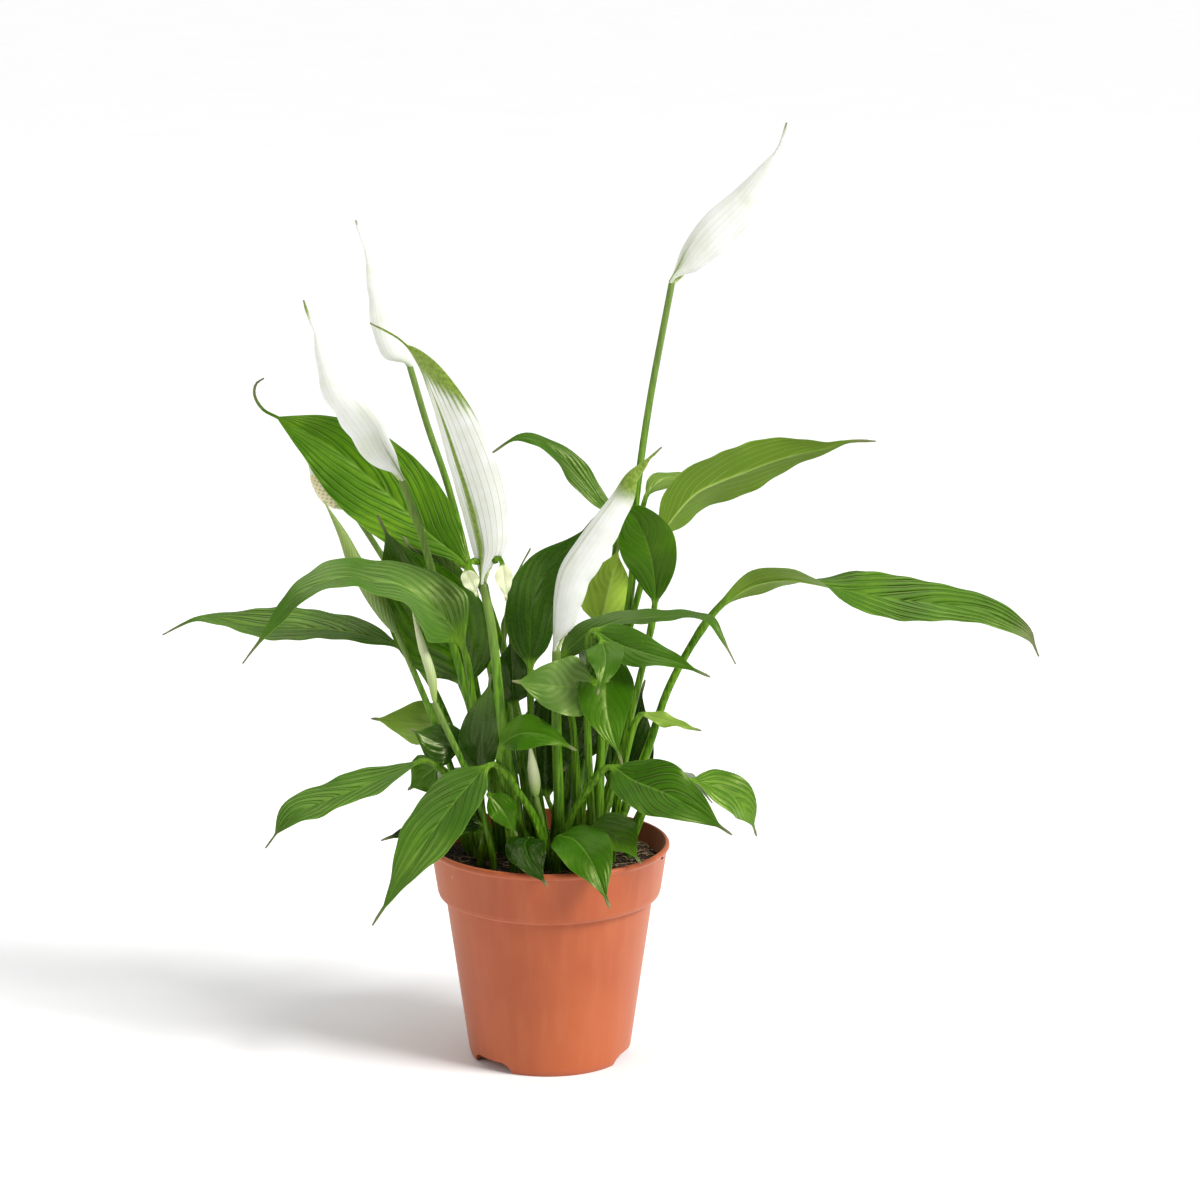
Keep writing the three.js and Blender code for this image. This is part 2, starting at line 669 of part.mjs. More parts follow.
    blade: [[45, -14, 178], [52, -15, 177], [60, -16, 175], [75, -18, 171]],
    faces: [[0, -0.6, 0.8], [0, -0.6, 0.8]], bladeSteps: 6,
  },
  {
    name: 'leaf_rim_left', finish: 'deepLeaf', root: [-6, -34], half: 10, stalkSteps: 1,
    blade: [[-8, -36, 121], [-11, -45, 121], [-8, -55, 115], [0, -65, 106]],
    faces: [[-0.2, -0.3, 0.9], [0, -0.8, 0.6]], bladeSteps: 7,
  },
  {
    name: 'leaf_rim_middle', finish: 'leaf', root: [4, -33], half: 14, stalkSteps: 1,
    blade: [[4, -36, 121], [12, -46, 124], [21, -60, 117], [30, -72, 97]],
    faces: [[0, -0.3, 0.9], [0.1, -0.85, 0.5]], bladeSteps: 8,
  },
  {
    name: 'leaf_rim_right', finish: 'leaf', root: [15, -27], half: 13, stalkSteps: 1,
    blade: [[19, -28, 122], [28, -34, 125], [37, -42, 121], [45, -50, 113]],
    faces: [[0, -0.4, 0.9], [0.2, -0.7, 0.7]], bladeSteps: 7,
  },
  // the back, which the front leaves hide
  {
    name: 'leaf_back_left', finish: 'deepLeaf', root: [-10, 22], half: 14,
    stalk: [[-18, 32, 160]],
    blade: [[-30, 48, 192], [-45, 70, 206], [-58, 94, 204], [-66, 116, 188]],
    faces: [[0, 0.2, 1], [-0.4, 0.5, 0.8]], bladeSteps: 6,
  },
  {
    name: 'leaf_back_middle', finish: 'deepLeaf', root: [14, 24], half: 14,
    stalk: [[20, 34, 150]],
    blade: [[25, 48, 174], [28, 70, 188], [29, 96, 188], [27, 122, 172]],
    faces: [[0, 0.2, 1], [0, 0.6, 0.8]], bladeSteps: 6,
    sprout: {
      stalk: [[13, 25, 104], [4, 34, 112]], half: 17, bladeSteps: 5,
      blade: [[-1, 38, 120], [-2, 40, 145], [0, 42, 170], [5, 44, 189]],
      faces: [[0, -1, 0], [0, -1, 0]],
    },
  },
  {
    name: 'leaf_back_low_left', finish: 'deepLeaf', root: [-17, 29], half: 13, stalkSteps: 2,
    blade: [[-26, 40, 126], [-42, 60, 131], [-54, 82, 120], [-61, 102, 98]],
    faces: [[-0.2, 0.3, 0.9], [-0.5, 0.6, 0.6]], bladeSteps: 6,
  },
  {
    name: 'leaf_back_low_right', finish: 'deepLeaf', root: [23, 27], half: 13, stalkSteps: 2,
    blade: [[34, 38, 124], [54, 58, 128], [71, 80, 120], [84, 98, 102]],
    faces: [[0.2, 0.3, 0.9], [0.5, 0.6, 0.6]], bladeSteps: 6,
    sprout: {
      stalk: [[25, 28, 105], [31, 34, 112]], half: 13, bladeSteps: 5,
      blade: [[35, 37, 121], [39, 38, 141], [43, 38, 165], [48, 38, 183]],
      faces: [[0, -1, 0], [0, -1, 0]],
    },
  },
];

// ---- blooms ----

const blooms = [
  {
    name: 'bloom_tall_right', root: [3, 0], half: 16, stemRadii: [2.2, 1.6], curl: 170,
    stem: [[18, 13, 160], [39, 14, 224], [43, 13, 280], [49, 12, 326], [60, 12, 387]],
    spathe: [[63, 12, 394], [67, 12, 402], [73, 12, 411], [79, 12, 418], [92, 12, 430], [104, 12, 444],
      [111, 12, 453], [115, 12, 465]],
    faces: [[0.55, 0.65, -0.5], [0.55, 0.65, -0.5]],
  },
  {
    name: 'bloom_tall_left', root: [-14, 14], half: 12, stemRadii: [2.2, 1.6], curl: 150, form: { widest: 0.26 },
    stem: [[-32, 38, 200], [-50, 52, 276], [-61, 50, 311], [-69, 45, 341]],
    spathe: [[-72, 43, 350], [-76, 43, 360], [-80, 44, 373], [-86, 44, 390], [-91, 45, 403],
      [-95, 46, 414]],
    faces: [[-0.7, 0.7, 0], [-0.7, 0.7, 0]],
  },
  {
    name: 'bloom_big_left', root: [-13, -19], half: 20, stemRadii: [2.6, 2.2], curl: 110,
    stem: [[-17, -26, 140], [-22, -31, 175], [-27, -29, 224], [-31, -27, 246]],
    spathe: [[-32, -26, 262], [-35, -26, 278], [-39, -26, 293], [-43, -26, 306], [-48, -26, 322],
      [-54, -26, 339], [-60, -27, 353], [-69, -28, 365], [-84, -29, 374]],
    faces: [[0.6, 0.8, 0.1], [0.75, 0.65, 0.2], [0.85, 0.45, 0.3]], form: { widest: 0.46, taper: 0.75 },
    scraps: [
      {
        stalk: [[-33, -25, 257], [-37, -29, 258]], half: 4.4, bladeSteps: 4,
        blade: [[-39, -30, 255], [-37, -30, 249], [-34, -31, 241]], faces: [[-0.4, -0.9, 0], [0.2, -1, 0]],
      },
      {
        stalk: [[-26, -28, 258], [-23, -30, 260]], half: 4.4, bladeSteps: 4,
        blade: [[-22, -30, 258], [-21, -30, 250], [-20, -30, 239]], faces: [[0.2, -1, 0], [0.2, -1, 0]],
      },
    ],
  },
  {
    name: 'bloom_left', root: [-21, -3], half: 15, stemRadii: [2.2, 1.8], curl: 170, form: { widest: 0.42 },
    stem: [[-38, 0, 175], [-52, -3, 229], [-63, -4, 270], [-71, -2, 292]],
    spathe: [[-76, -3, 303], [-80, -3, 310], [-84, -4, 320], [-90, -5, 329], [-98, -6, 339],
      [-107, -7, 356], [-113, -8, 370], [-117, -9, 382]],
    faces: [[-0.7, 0.65, 0.2], [-0.7, 0.65, 0.2]],
  },
  {
    name: 'bloom_centre', root: [7, -16], half: 15, stemRadii: [2.8, 2.2], curl: 180, form: { tail: 0.06, taper: 0.9 },
    stem: [[5, -17, 136], [4, -17, 170], [4, -19, 211]],
    spathe: [[4, -21, 226], [5, -23, 239], [8, -24, 252], [16, -25, 265], [25, -25, 278],
      [33, -24, 289], [39, -24, 299], [47, -23, 306], [55, -23, 313]],
    faces: [[0.75, 0.6, -0.3], [0.65, 0.65, -0.4]],
  },
  {
    name: 'bloom_back_left', root: [-24, 13], half: 12, stemRadii: [2, 1.5], curl: 120,
    stem: [[-44, 36, 180], [-86, 66, 242], [-100, 68, 264]],
    spathe: [[-110, 70, 274], [-118, 72, 286], [-126, 72, 298]],
    faces: [[-0.7, -0.4, -0.5], [-0.7, -0.4, -0.5]], spadix: { length: 18 },
  },
];

const buds = [
  {
    name: 'bud_left', root: [-27, -25], finish: 'bud', radius: 2.4, stemRadii: [1.8, 1.5],
    stem: [[-33, -27, 135], [-42, -28, 158], [-50, -26, 175], [-55, -24, 186]],
    bud: [[-57, -22, 200], [-62, -20, 217], [-67, -19, 238]],
  },
  {
    name: 'bud_front', root: [-1, -17], finish: 'bud', radius: 3, stemRadii: [1.8, 1.5],
    stem: [[-3, -26, 125], [-6, -29, 140]],
    bud: [[-7, -30, 151], [-9, -31, 169]],
  },
  {
    name: 'bud_green_left', root: [-37, -3], finish: 'greenBud', radius: 4.6, stemRadii: [1.8, 1.5],
    stem: [[-52, -6, 160], [-66, -8, 198], [-74, -9, 218]],
    bud: [[-80, -8, 228], [-87, -8, 240], [-94, -8, 253], [-100, -8, 267], [-109, -8, 284]],
  },
];

function stemRings(root, points, [base, top], steps) {
  const all = [[...root, stalk.rootHeight], [...root, stalk.collarHeight], ...points].map(vector);
  const curve = new THREE.CatmullRomCurve3(all, false, 'centripetal');
  const stations = stationsAlong(curve, 1 / (all.length - 1), 1, steps);
  const end = stations[stations.length - 1];
  const rings = stalkRings(stations, squareTo(end.along, vector([0, -1, 0])), { base, heel: top });
  return { rings: [rootRing(root, rings[0]), ...rings], end };
}

// Withered scraps of its sheath hang from the foot of one spathe.
function spatheBody(spathe, scraps) {
  if (!scraps.length) return spathe;
  return toGeometry(scraps.reduce((body, scrap) => body.add(toSolid(sproutBody(scrap))), toSolid(spathe)));
}

function bloomParts(bloom) {
  const stem = stemRings(bloom.root, bloom.stem, bloom.stemRadii, bloomForm.stemSteps);
  const { at: neck, along } = stem.end;
  const inner = squareTo(along, vector(bloom.faces[0]));
  const start = neck.clone().addScaledVector(along, bloomForm.gap).addScaledVector(inner, -bloomForm.shift);
  const points = [start, ...bloom.spathe.map(vector)];
  const curve = new THREE.CatmullRomCurve3(points, false, 'centripetal');
  const form = { ...spatheForm, curl: bloom.curl, ...bloom.form };
  const rings = bladeRings(stationsAlong(curve, 0, 1, bloomForm.spatheSteps), {
    half: bloom.half, faces: bloom.faces, form, heelRadius: bloomForm.footRadius,
  });
  return [
    named(`${bloom.name}_stem`, loft(stem.rings), 'stem'),
    named(`${bloom.name}_spathe`, spatheBody(loft(rings), bloom.scraps ?? []), 'spathe'),
    named(`${bloom.name}_spadix`, loft(spadixRings(bloom, curve)), 'spadix'),
  ];
}

function spadixRadius(share, form) {
  const { radius, shoulder, shoulderShare, topShare } = form;
  if (share < shoulder) return radius * (shoulderShare + ((1 - shoulderShare) * share) / shoulder);
  return radius * (1 - topShare * ((share - shoulder) / (1 - shoulder)) ** 4);
}

// A blunt spike on a short foot follows the hollow of its spathe, studded all round.
function spadixRings(bloom, curve) {
  const form = { ...spadixForm, ...bloom.spadix };
  const whole = curve.getLength();
  const foot = form.stipe + bloomForm.gap;
  const ring = (length, radius, stud) => {
    const share = length / whole;
    const along = curve.getTangentAt(share);
    const up = squareTo(along, faceAt(bloom.faces, share));
    const lift = form.footGap + (form.hollow - form.footGap) * smoothStep(length / form.stipe);
    const at = curve.getPointAt(share).addScaledVector(up, lift);
    const offsets = roundRing(radius).map(([across, above], k) => {
      const swell = 1 + (k % 2 ? stud : -stud);
      return [across * swell, above * swell];
    });
    return placeRing({ at, along, up, offsets });
  };
  const rings = [ring(bloomForm.gap, form.stipeRadius, 0), ring(form.stipe, form.stipeRadius, 0)];
  for (let i = 0; i <= form.rings; i += 1) {
    const share = i / form.rings;
    const stud = i === 0 || i === form.rings ? 0 : form.stud * (i % 2 ? 1 : -1);
    rings.push(ring(foot + form.length * share, spadixRadius(share, form), stud));
  }
  rings.push(ring(foot + form.length + form.tipLength, form.radius * form.tipShare, 0));
  return rings;
}

function budRings(bud, end) {
  const start = end.at.clone().addScaledVector(end.along, budForm.gap);
  const curve = new THREE.CatmullRomCurve3([start, ...bud.bud.map(vector)], false, 'centripetal');
  let up = squareTo(curve.getTangent(0), vector([0, -1, 0]));
  return stationsAlong(curve, 0, 1, budForm.steps).map(({ at, along, share }) => {
    up = squareTo(along, up);
    const place = budForm.from + (1 - budForm.from) * share ** budForm.skew;
    const swell = Math.sin(Math.PI * Math.min(place, budForm.to));
    return placeRing({ at, along, up, offsets: roundRing(Math.max(bud.radius * swell, budForm.leastRadius)) });
  });
}

// A bud still as green as its stem is one piece with it, and a pale one is a piece of its own.
function budParts(bud) {
  const stem = stemRings(bud.root, bud.stem, bud.stemRadii, budForm.stemSteps);
  const rings = budRings(bud, stem.end);
  if (bud.finish === 'greenBud') return [named(bud.name, loft([...stem.rings, ...rings]), bud.finish)];
  return [
    named(`${bud.name}_stem`, loft(stem.rings), 'stem'),
    named(bud.name, loft(rings), bud.finish),
  ];
}

// ---- the whole plant ----

function rootsOf(plants) {
  return plants.map(({ root, stemRadii }) => ({
    x: root[0], y: root[1], radius: stemRadii?.[0] ?? stalk.baseRadius,
  }));
}

const lily = new THREE.Group();
lily.add(potBody());
lily.add(soilBody(rootsOf([...leaves, ...blooms, ...buds])));
for (const leaf of leaves) lily.add(named(leaf.name, leafBody(leaf), leaf.finish));
for (const bloom of blooms) lily.add(...bloomParts(bloom));
for (const bud of buds) lily.add(...budParts(bud));

export default lily;
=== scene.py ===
import math
import random

import bpy
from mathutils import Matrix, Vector, noise


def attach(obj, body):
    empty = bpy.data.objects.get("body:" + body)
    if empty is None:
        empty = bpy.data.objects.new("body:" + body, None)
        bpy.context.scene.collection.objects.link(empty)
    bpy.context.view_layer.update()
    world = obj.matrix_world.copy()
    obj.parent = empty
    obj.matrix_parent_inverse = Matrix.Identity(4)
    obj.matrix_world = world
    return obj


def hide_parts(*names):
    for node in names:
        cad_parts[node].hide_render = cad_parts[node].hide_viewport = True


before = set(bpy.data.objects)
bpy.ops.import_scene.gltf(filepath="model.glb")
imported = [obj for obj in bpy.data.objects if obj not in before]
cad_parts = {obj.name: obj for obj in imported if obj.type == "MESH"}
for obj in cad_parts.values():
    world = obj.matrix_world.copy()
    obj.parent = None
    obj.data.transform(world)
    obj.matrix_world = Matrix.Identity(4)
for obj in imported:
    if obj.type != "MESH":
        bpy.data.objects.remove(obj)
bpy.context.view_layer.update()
random.seed(11)
mm = 0.001
wholeTurn = 2 * math.pi

# camera, at the photograph's angle
shot = {"place": (0.0253, -1.8, 0.634), "tilt": 77.43, "lens": 112.7, "sensor": 36, "reach": 80}
bpy.ops.object.camera_add(location=shot["place"], rotation=(math.radians(shot["tilt"]), 0, 0))
camera = bpy.context.object
camera.name = "photoCamera"
camera.data.lens = shot["lens"]
camera.data.sensor_width = shot["sensor"]
camera.data.clip_end = shot["reach"]
bpy.context.scene.camera = camera
bpy.context.scene.view_settings.view_transform = "Standard"
print("camera placed")


# a wire is the output of a shader node, and takes sums and products
class Wire:
    def __init__(self, tree, socket):
        self.tree = tree
        self.socket = socket

    def __add__(self, other):
        return calc("ADD", self, other)

    def __sub__(self, other):
        return calc("SUBTRACT", self, other)

    def __rsub__(self, other):
        return calc("SUBTRACT", other, self)

    def __mul__(self, other):
        return calc("MULTIPLY", self, other)

    def __pow__(self, other):
        return calc("POWER", self, other)


def tone(red, green, blue):
    parts = [part / 255 for part in (red, green, blue)]
    return [part / 12.92 if part <= 0.04045 else ((part + 0.055) / 1.055) ** 2.4 for part in parts] + [1]


# an input is fed by a wire or by a plain value, and a colour may be given from 0 to 255
def feed(socket, value):
    if isinstance(value, Wire):
        value.tree.links.new(value.socket, socket)
    elif socket.type == "RGBA" and len(value) == 3:
        socket.default_value = tone(*value)
    else:
        socket.default_value = value


def addNode(tree, kind, values, output=0, **settings):
    made = tree.nodes.new("ShaderNode" + kind)
    for key, setting in settings.items():
        setattr(made, key, setting)
    for key, value in values.items():
        feed(made.inputs[key], value)
    return Wire(tree, made.outputs[output])


def calc(operation, *values, clamp=False):
    tree = next(value.tree for value in values if isinstance(value, Wire))
    return addNode(tree, "Math", dict(enumerate(values)), operation=operation, use_clamp=clamp)


def ease(value, low, high, start=0.0, end=1.0):
    numbers = dict(enumerate((value, low, high, start, end)))
    return addNode(value.tree, "MapRange", numbers, interpolation_type="SMOOTHSTEP")


def blend(share, first, second):
    return addNode(share.tree, "Mix", {0: share, 6: first, 7: second}, 2, data_type="RGBA")


# one swing from 0 to 1 and back for each turn
def swing(turns):
    return calc("MULTIPLY_ADD", calc("COSINE", turns * wholeTurn), 0.5, 0.5)


def cloud(place, scale, detail=3.0, roughness=0.55):
    return addNode(place.tree, "TexNoise", {"Vector": place, "Scale": scale, "Detail": detail,
                                            "Roughness": roughness})


def grains(place, scale):
    return addNode(place.tree, "TexVoronoi", {"Vector": place, "Scale": scale})


def objectPlace(tree, stretch=(1, 1, 1)):
    return addNode(tree, "Mapping", {"Vector": addNode(tree, "TexCoord", {}, "Object"), "Scale": stretch})


def threeParts(vector):
    parts = addNode(vector.tree, "SeparateXYZ", {0: vector}).socket.node
    return [Wire(vector.tree, output) for output in parts.outputs]


def marks(tree, name):
    return threeParts(addNode(tree, "Attribute", {}, "Vector", attribute_name=name))


def newPaint(name, settings, glow=None):
    paint = bpy.data.materials.new(name)
    paint.use_nodes = True
    if glow:
        settings = {**settings, "Subsurface Weight": glow[0], "Subsurface Radius": glow[1],
                    "Subsurface Scale": glow[2]}
    for key, value in settings.items():
        feed(paint.node_tree.nodes["Principled BSDF"].inputs[key], value)
    return paint, paint.node_tree


def finishPaint(paint, colour, rough, relief, distance, strength):
    bump = addNode(paint.node_tree, "Bump", {"Strength": strength, "Distance": distance, "Height": relief})
    for key, value in {"Base Color": colour, "Roughness": rough, "Normal": bump}.items():
        feed(paint.node_tree.nodes["Principled BSDF"].inputs[key], value)
    return paint


# leaf paint: the marks give the place across and along the blade, the side, where the stalk begins,
# and how light each blade is (its own tone with painted light and shade), how much painted sheen it takes
# and how ribbed it is
leafTones = {
    "leaf": dict(slot="leaf", deep=(16, 46, 0), mid=(48, 96, 0), light=(106, 148, 24), under=(108, 136, 44),
                 underDeep=(70, 104, 20), rib=(132, 172, 66), dustAndSheen=(118, 144, 80), rough=0.36, gloss=0.06),
    # the next paint is a darker copy of the leaf paint: painted shade for the leaves that stand in the
    # plant's shade; its coat is real gloss
    "deepLeaf": dict(slot="deep_leaf", deep=(6, 24, 0), mid=(30, 70, 0), light=(74, 120, 6),
                     under=(80, 110, 24), underDeep=(46, 80, 10), rib=(84, 128, 34), dustAndSheen=(104, 130, 84),
                     rough=0.28, gloss=0.4),
    "paleLeaf": dict(slot="pale_leaf", deep=(82, 118, 20), mid=(118, 152, 42), light=(170, 198, 88),
                     under=(156, 186, 66), underDeep=(90, 122, 30), rib=(166, 190, 98), dustAndSheen=(146, 164, 108),
                     rough=0.36, gloss=0),
    "scrap": dict(deep=(190, 200, 130), mid=(220, 226, 182), light=(240, 242, 218), under=(226, 230, 192),
                  underDeep=(204, 212, 152), rib=(178, 196, 112), dustAndSheen=(244, 246, 232), rough=0.5, gloss=0),
}
# the stalks' foot tone is painted shade near the soil
stalkTones = {"dark": (50, 94, 4), "light": (98, 144, 26), "foot": (48, 74, 10), "top": (116, 154, 50)}
leafSpots = {"freckle": (176, 180, 92), "dryTip": (126, 124, 92)}


def paintLeaf(name, tones):
    paint, tree = newPaint(name, {
        "Specular IOR Level": 0.36, "Specular Tint": (0.9, 1, 0.3, 1), "Coat Weight": tones["gloss"],
        "Coat Roughness": 0.16, "Coat IOR": 1.35,
    }, glow=(0.1, (0.5, 1.0, 0.1), 0.001))
    across, along, lead = marks(tree, "leafPlace")
    side, opened, share = marks(tree, "leafPart")
    # the first look mark mixes the blade's own tone with painted light and shade; the second is how much
    # painted sheen it takes
    light, sheenAmount, ribbed = marks(tree, "leafLook")
    place = objectPlace(tree)
    fine = cloud(place, 420)
    out = calc("ABSOLUTE", across)
    quilt = swing(along - lead * out ** 1.3 + (cloud(place, 60, 2) - 0.5) * 0.4)
    marked = ribbed * ((ease(cloud(place, 48), 0.36, 0.64) + 0.6) * 0.625)
    line = ease(quilt, 0.86, 1.0) * (marked + 0.1)
    # crease is painted shade: the blade darkens in the grooves along the side veins, where the quilting
    # throws shade
    crease = ease(quilt, 0.25, 0.8) * marked
    depth = calc("SUBTRACT", light + (cloud(place, 30, 4) - 0.5) * 0.9, crease * 0.36, clamp=True)
    upper = blend(ease(depth, 0.0, 0.5), tones["deep"], tones["mid"])
    upper = blend(ease(depth, 0.5, 1.0), upper, tones["light"])
    upper = blend(line * 0.3, upper, tones["rib"])
    # painted sheen: a pale grey-green patchy tone on the upper side, kept out of the vein creases, stands
    # for soft highlights
    dustAndSheen = sheenAmount * ease(cloud(place, 24), 0.34, 0.66, 0.2, 0.85)
    upper = blend(dustAndSheen * (1.0 - crease), upper, tones["dustAndSheen"])
    lower = blend(ease(depth, 0.1, 0.9), tones["underDeep"], tones["under"])
    lower = blend(line * 0.35, lower, tones["rib"])
    under = ease(side, 0.4, -0.4)
    blade = blend(under, upper, lower)
    rib = ease(out, 0.06, 0.01) * ease(share, 1.0, 0.1, 0.05, 0.45)
    blade = blend(calc("MULTIPLY", rib, under + 0.8, clamp=True), blade, tones["rib"])
    blade = blend(ease(out, 0.97, 0.998) * 0.25, blade, tones["rib"])
    freckles = ease(grains(place, 190), 0.09, 0.03, 0.0, 0.35) * ease(cloud(place, 55, 2), 0.56, 0.66)
    blade = blend(freckles, blade, leafSpots["freckle"])
    blade = blend(ease(share, 0.86, 0.98, 0.0, 0.85), blade, leafSpots["dryTip"])
    streaks = cloud(objectPlace(tree, (1, 1, 0.07)), 900)
    skin = blend(ease(streaks, 0.35, 0.65), stalkTones["dark"], stalkTones["light"])
    # painted shade: the stalk darkens towards its foot, where the crowded stalks shade it near the soil
    skin = blend(ease(share, -0.6, -1.0, 0.0, 0.6), skin, stalkTones["foot"])
    skin = blend(ease(share, -0.12, -0.02, 0.0, 0.35), skin, stalkTones["top"])
    surface = blend(ease(opened, 0.25, 0.8), skin, blade)
    rough = ease(fine, 0.3, 0.7, tones["rough"] - 0.05, tones["rough"] + 0.08)
    rough = calc("ADD", rough, under * 0.2, clamp=True)
    pillow = (1.0 - quilt) ** 0.5 * marked
    return finishPaint(paint, surface, rough, pillow * 0.7 + fine * 0.05, 0.0004, 0.7)


# the stems' foot tone is painted shade low in the plant
stemTones = {"dark": (56, 102, 4), "light": (108, 154, 28), "blotch": (124, 160, 58), "foot": (48, 76, 8),
             "top": (124, 142, 78), "speck": (168, 190, 104)}


def paintStem(tones):
    paint, tree = newPaint("paint_stem", {"Specular IOR Level": 0.2}, glow=(0.1, (0.5, 1.0, 0.2), 0.001))
    share = marks(tree, "stemPlace")[2]
    place = objectPlace(tree)
    streaks = cloud(objectPlace(tree, (1, 1, 0.06)), 800)
    skin = blend(ease(streaks, 0.35, 0.65), tones["dark"], tones["light"])
    skin = blend(ease(cloud(place, 60), 0.45, 0.7, 0.0, 0.35), skin, tones["blotch"])
    # painted shade: the stem darkens towards its foot, in the plant's shade near the soil
    skin = blend(ease(share, 0.24, 0.0, 0.0, 0.6), skin, tones["foot"])
    skin = blend(ease(share, 0.6, 0.95, 0.0, 0.6), skin, tones["top"])
    skin = blend(ease(grains(place, 700), 0.16, 0.06, 0.0, 0.4), skin, tones["speck"])
    return finishPaint(paint, skin, ease(streaks, 0.3, 0.7, 0.34, 0.5), streaks, 0.0002, 0.5)


# spathe paint: the tint marks say where the white turns green or dry, and how plain its veins are
spatheTones = {"white": (240, 241, 235), "shade": (224, 227, 212), "vein": (176, 184, 156),
               "green": (104, 134, 30), "paleGreen": (142, 164, 62), "greenVein": (84, 120, 30),
               "dry": (150, 132, 86), "darkDry": (112, 98, 74)}


def paintSpathe(tones):
    paint, tree = newPaint("paint_spathe", {"Specular IOR Level": 0.4}, glow=(0.3, (1.0, 1.0, 0.8), 0.0014))
    veins = marks(tree, "spathePlace")[1]
    green, dried, veined = marks(tree, "spatheTint")
    place = objectPlace(tree)
    broad, fine = cloud(place, 70), cloud(place, 600)
    wave = swing(veins + (broad - 0.5) * 0.35)
    line = ease(wave, 0.95, 1.0)
    white = blend(ease(broad, 0.3, 0.75), tones["white"], tones["shade"])
    white = blend(line * (veined + 0.15), white, tones["vein"])
    leafy = blend(ease(fine, 0.3, 0.7), tones["green"], tones["paleGreen"])
    leafy = blend(line * 0.4, leafy, tones["greenVein"])
    fade = green - (1.0 - wave) * veined * (1.5 - green) + (broad - 0.5) * 0.3
    petal = blend(ease(fade, 0.05, 0.95), white, leafy)
    petal = blend(dried, petal, blend(ease(fine, 0.3, 0.7), tones["dry"], tones["darkDry"]))
    rough = ease(fine, 0.3, 0.7, 0.42, 0.56)
    return finishPaint(paint, petal, rough, wave * 0.5 + fine * 0.2, 0.0002, 0.5)


spadixTones = {"hollow": (190, 180, 112), "knob": (244, 234, 200), "dustAndSheen": (255, 250, 232),
               "tip": (214, 196, 130), "stipe": (190, 204, 132)}


def paintSpadix(tones):
    paint, tree = newPaint("paint_spadix", {}, glow=(0.15, (1.0, 0.9, 0.5), 0.001))
    knob, _, stipe = marks(tree, "spadixPlace")
    fine = cloud(objectPlace(tree), 1400)
    cream = blend(ease(knob, 0.1, 0.8), tones["hollow"], tones["knob"])
    cream = blend(ease(fine, 0.45, 0.75, 0.0, 0.4), cream, tones["dustAndSheen"])
    cream = blend(ease(knob, 0.86, 0.98, 0.0, 0.5), cream, tones["tip"])
    cream = blend(stipe, cream, tones["stipe"])
    return finishPaint(paint, cream, ease(fine, 0.3, 0.7, 0.6, 0.85), fine, 0.0002, 0.6)


budTones = {
    "bud": dict(foot=(150, 176, 84), top=(216, 222, 178), streak=(136, 164, 74), ribs=14),
    "green_bud": dict(foot=(84, 116, 30), top=(126, 152, 66), streak=(176, 190, 118), ribs=14),
}


def paintBud(name, tones):
    paint, tree = newPaint(name, {}, glow=(0.2, (0.9, 1.0, 0.5), 0.001))
    around, _, share = marks(tree, "stemPlace")
    fine = cloud(objectPlace(tree), 500)
    ribs = swing((around + fine * 0.03) * tones["ribs"])
    skin = blend(ease(share, 0.0, 0.6), tones["foot"], tones["top"])
    skin = blend(ease(ribs, 0.7, 1.0) * 0.45, skin, tones["streak"])
    skin = blend(ease(share, 0.9, 1.0, 0.0, 0.6), skin, tones["streak"])
    return finishPaint(paint, skin, ease(fine, 0.3, 0.7, 0.42, 0.58), ribs + fine * 0.5, 0.00015, 0.5)


leafPaints = {name: paintLeaf("paint_" + name, tones) for name, tones in leafTones.items()}
stemPaint = paintStem(stemTones)
spathePaint = paintSpathe(spatheTones)
spadixPaint = paintSpadix(spadixTones)
budPaints = {name: paintBud("paint_" + name, tones) for name, tones in budTones.items()}
print("plant paints mixed")


def dress(piece, slot, *nodes):
    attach(piece, "root")
    if nodes:
        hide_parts(*nodes)


# every made piece rides on the one body, takes its paint, and stands for its CAD node
def settle(piece, paint, slot, *nodes):
    piece.data.materials.clear()
    piece.data.materials.append(paint)
    dress(piece, slot, *nodes)


def onlySelect(*objects):
    bpy.ops.object.select_all(action="DESELECT")
    for one in objects:
        one.select_set(True)
    if objects:
        bpy.context.view_layer.objects.active = objects[0]


def joinAll(pieces):
    onlySelect(*pieces)
    if len(pieces) > 1:
        bpy.ops.object.join()
    return pieces[0]


def smoothBy(piece, degrees):
    onlySelect(piece)
    bpy.ops.object.shade_smooth_by_angle(angle=math.radians(degrees))
    return piece


# each step is an edit of the whole mesh of the active piece
def editMesh(*steps):
    bpy.ops.object.mode_set(mode="EDIT")
    for step, settings in steps:
        bpy.ops.mesh.select_all(action="SELECT")
        step(**settings)
    bpy.ops.mesh.select_all(action="SELECT")
    bpy.ops.mesh.normals_make_consistent(inside=False)
    bpy.ops.object.mode_set(mode="OBJECT")


def stepUp(value):
    share = min(max(value, 0), 1)
    return share * share * (3 - 2 * share)


def bell(distance, width):
    return math.exp(-((distance / width) ** 2))


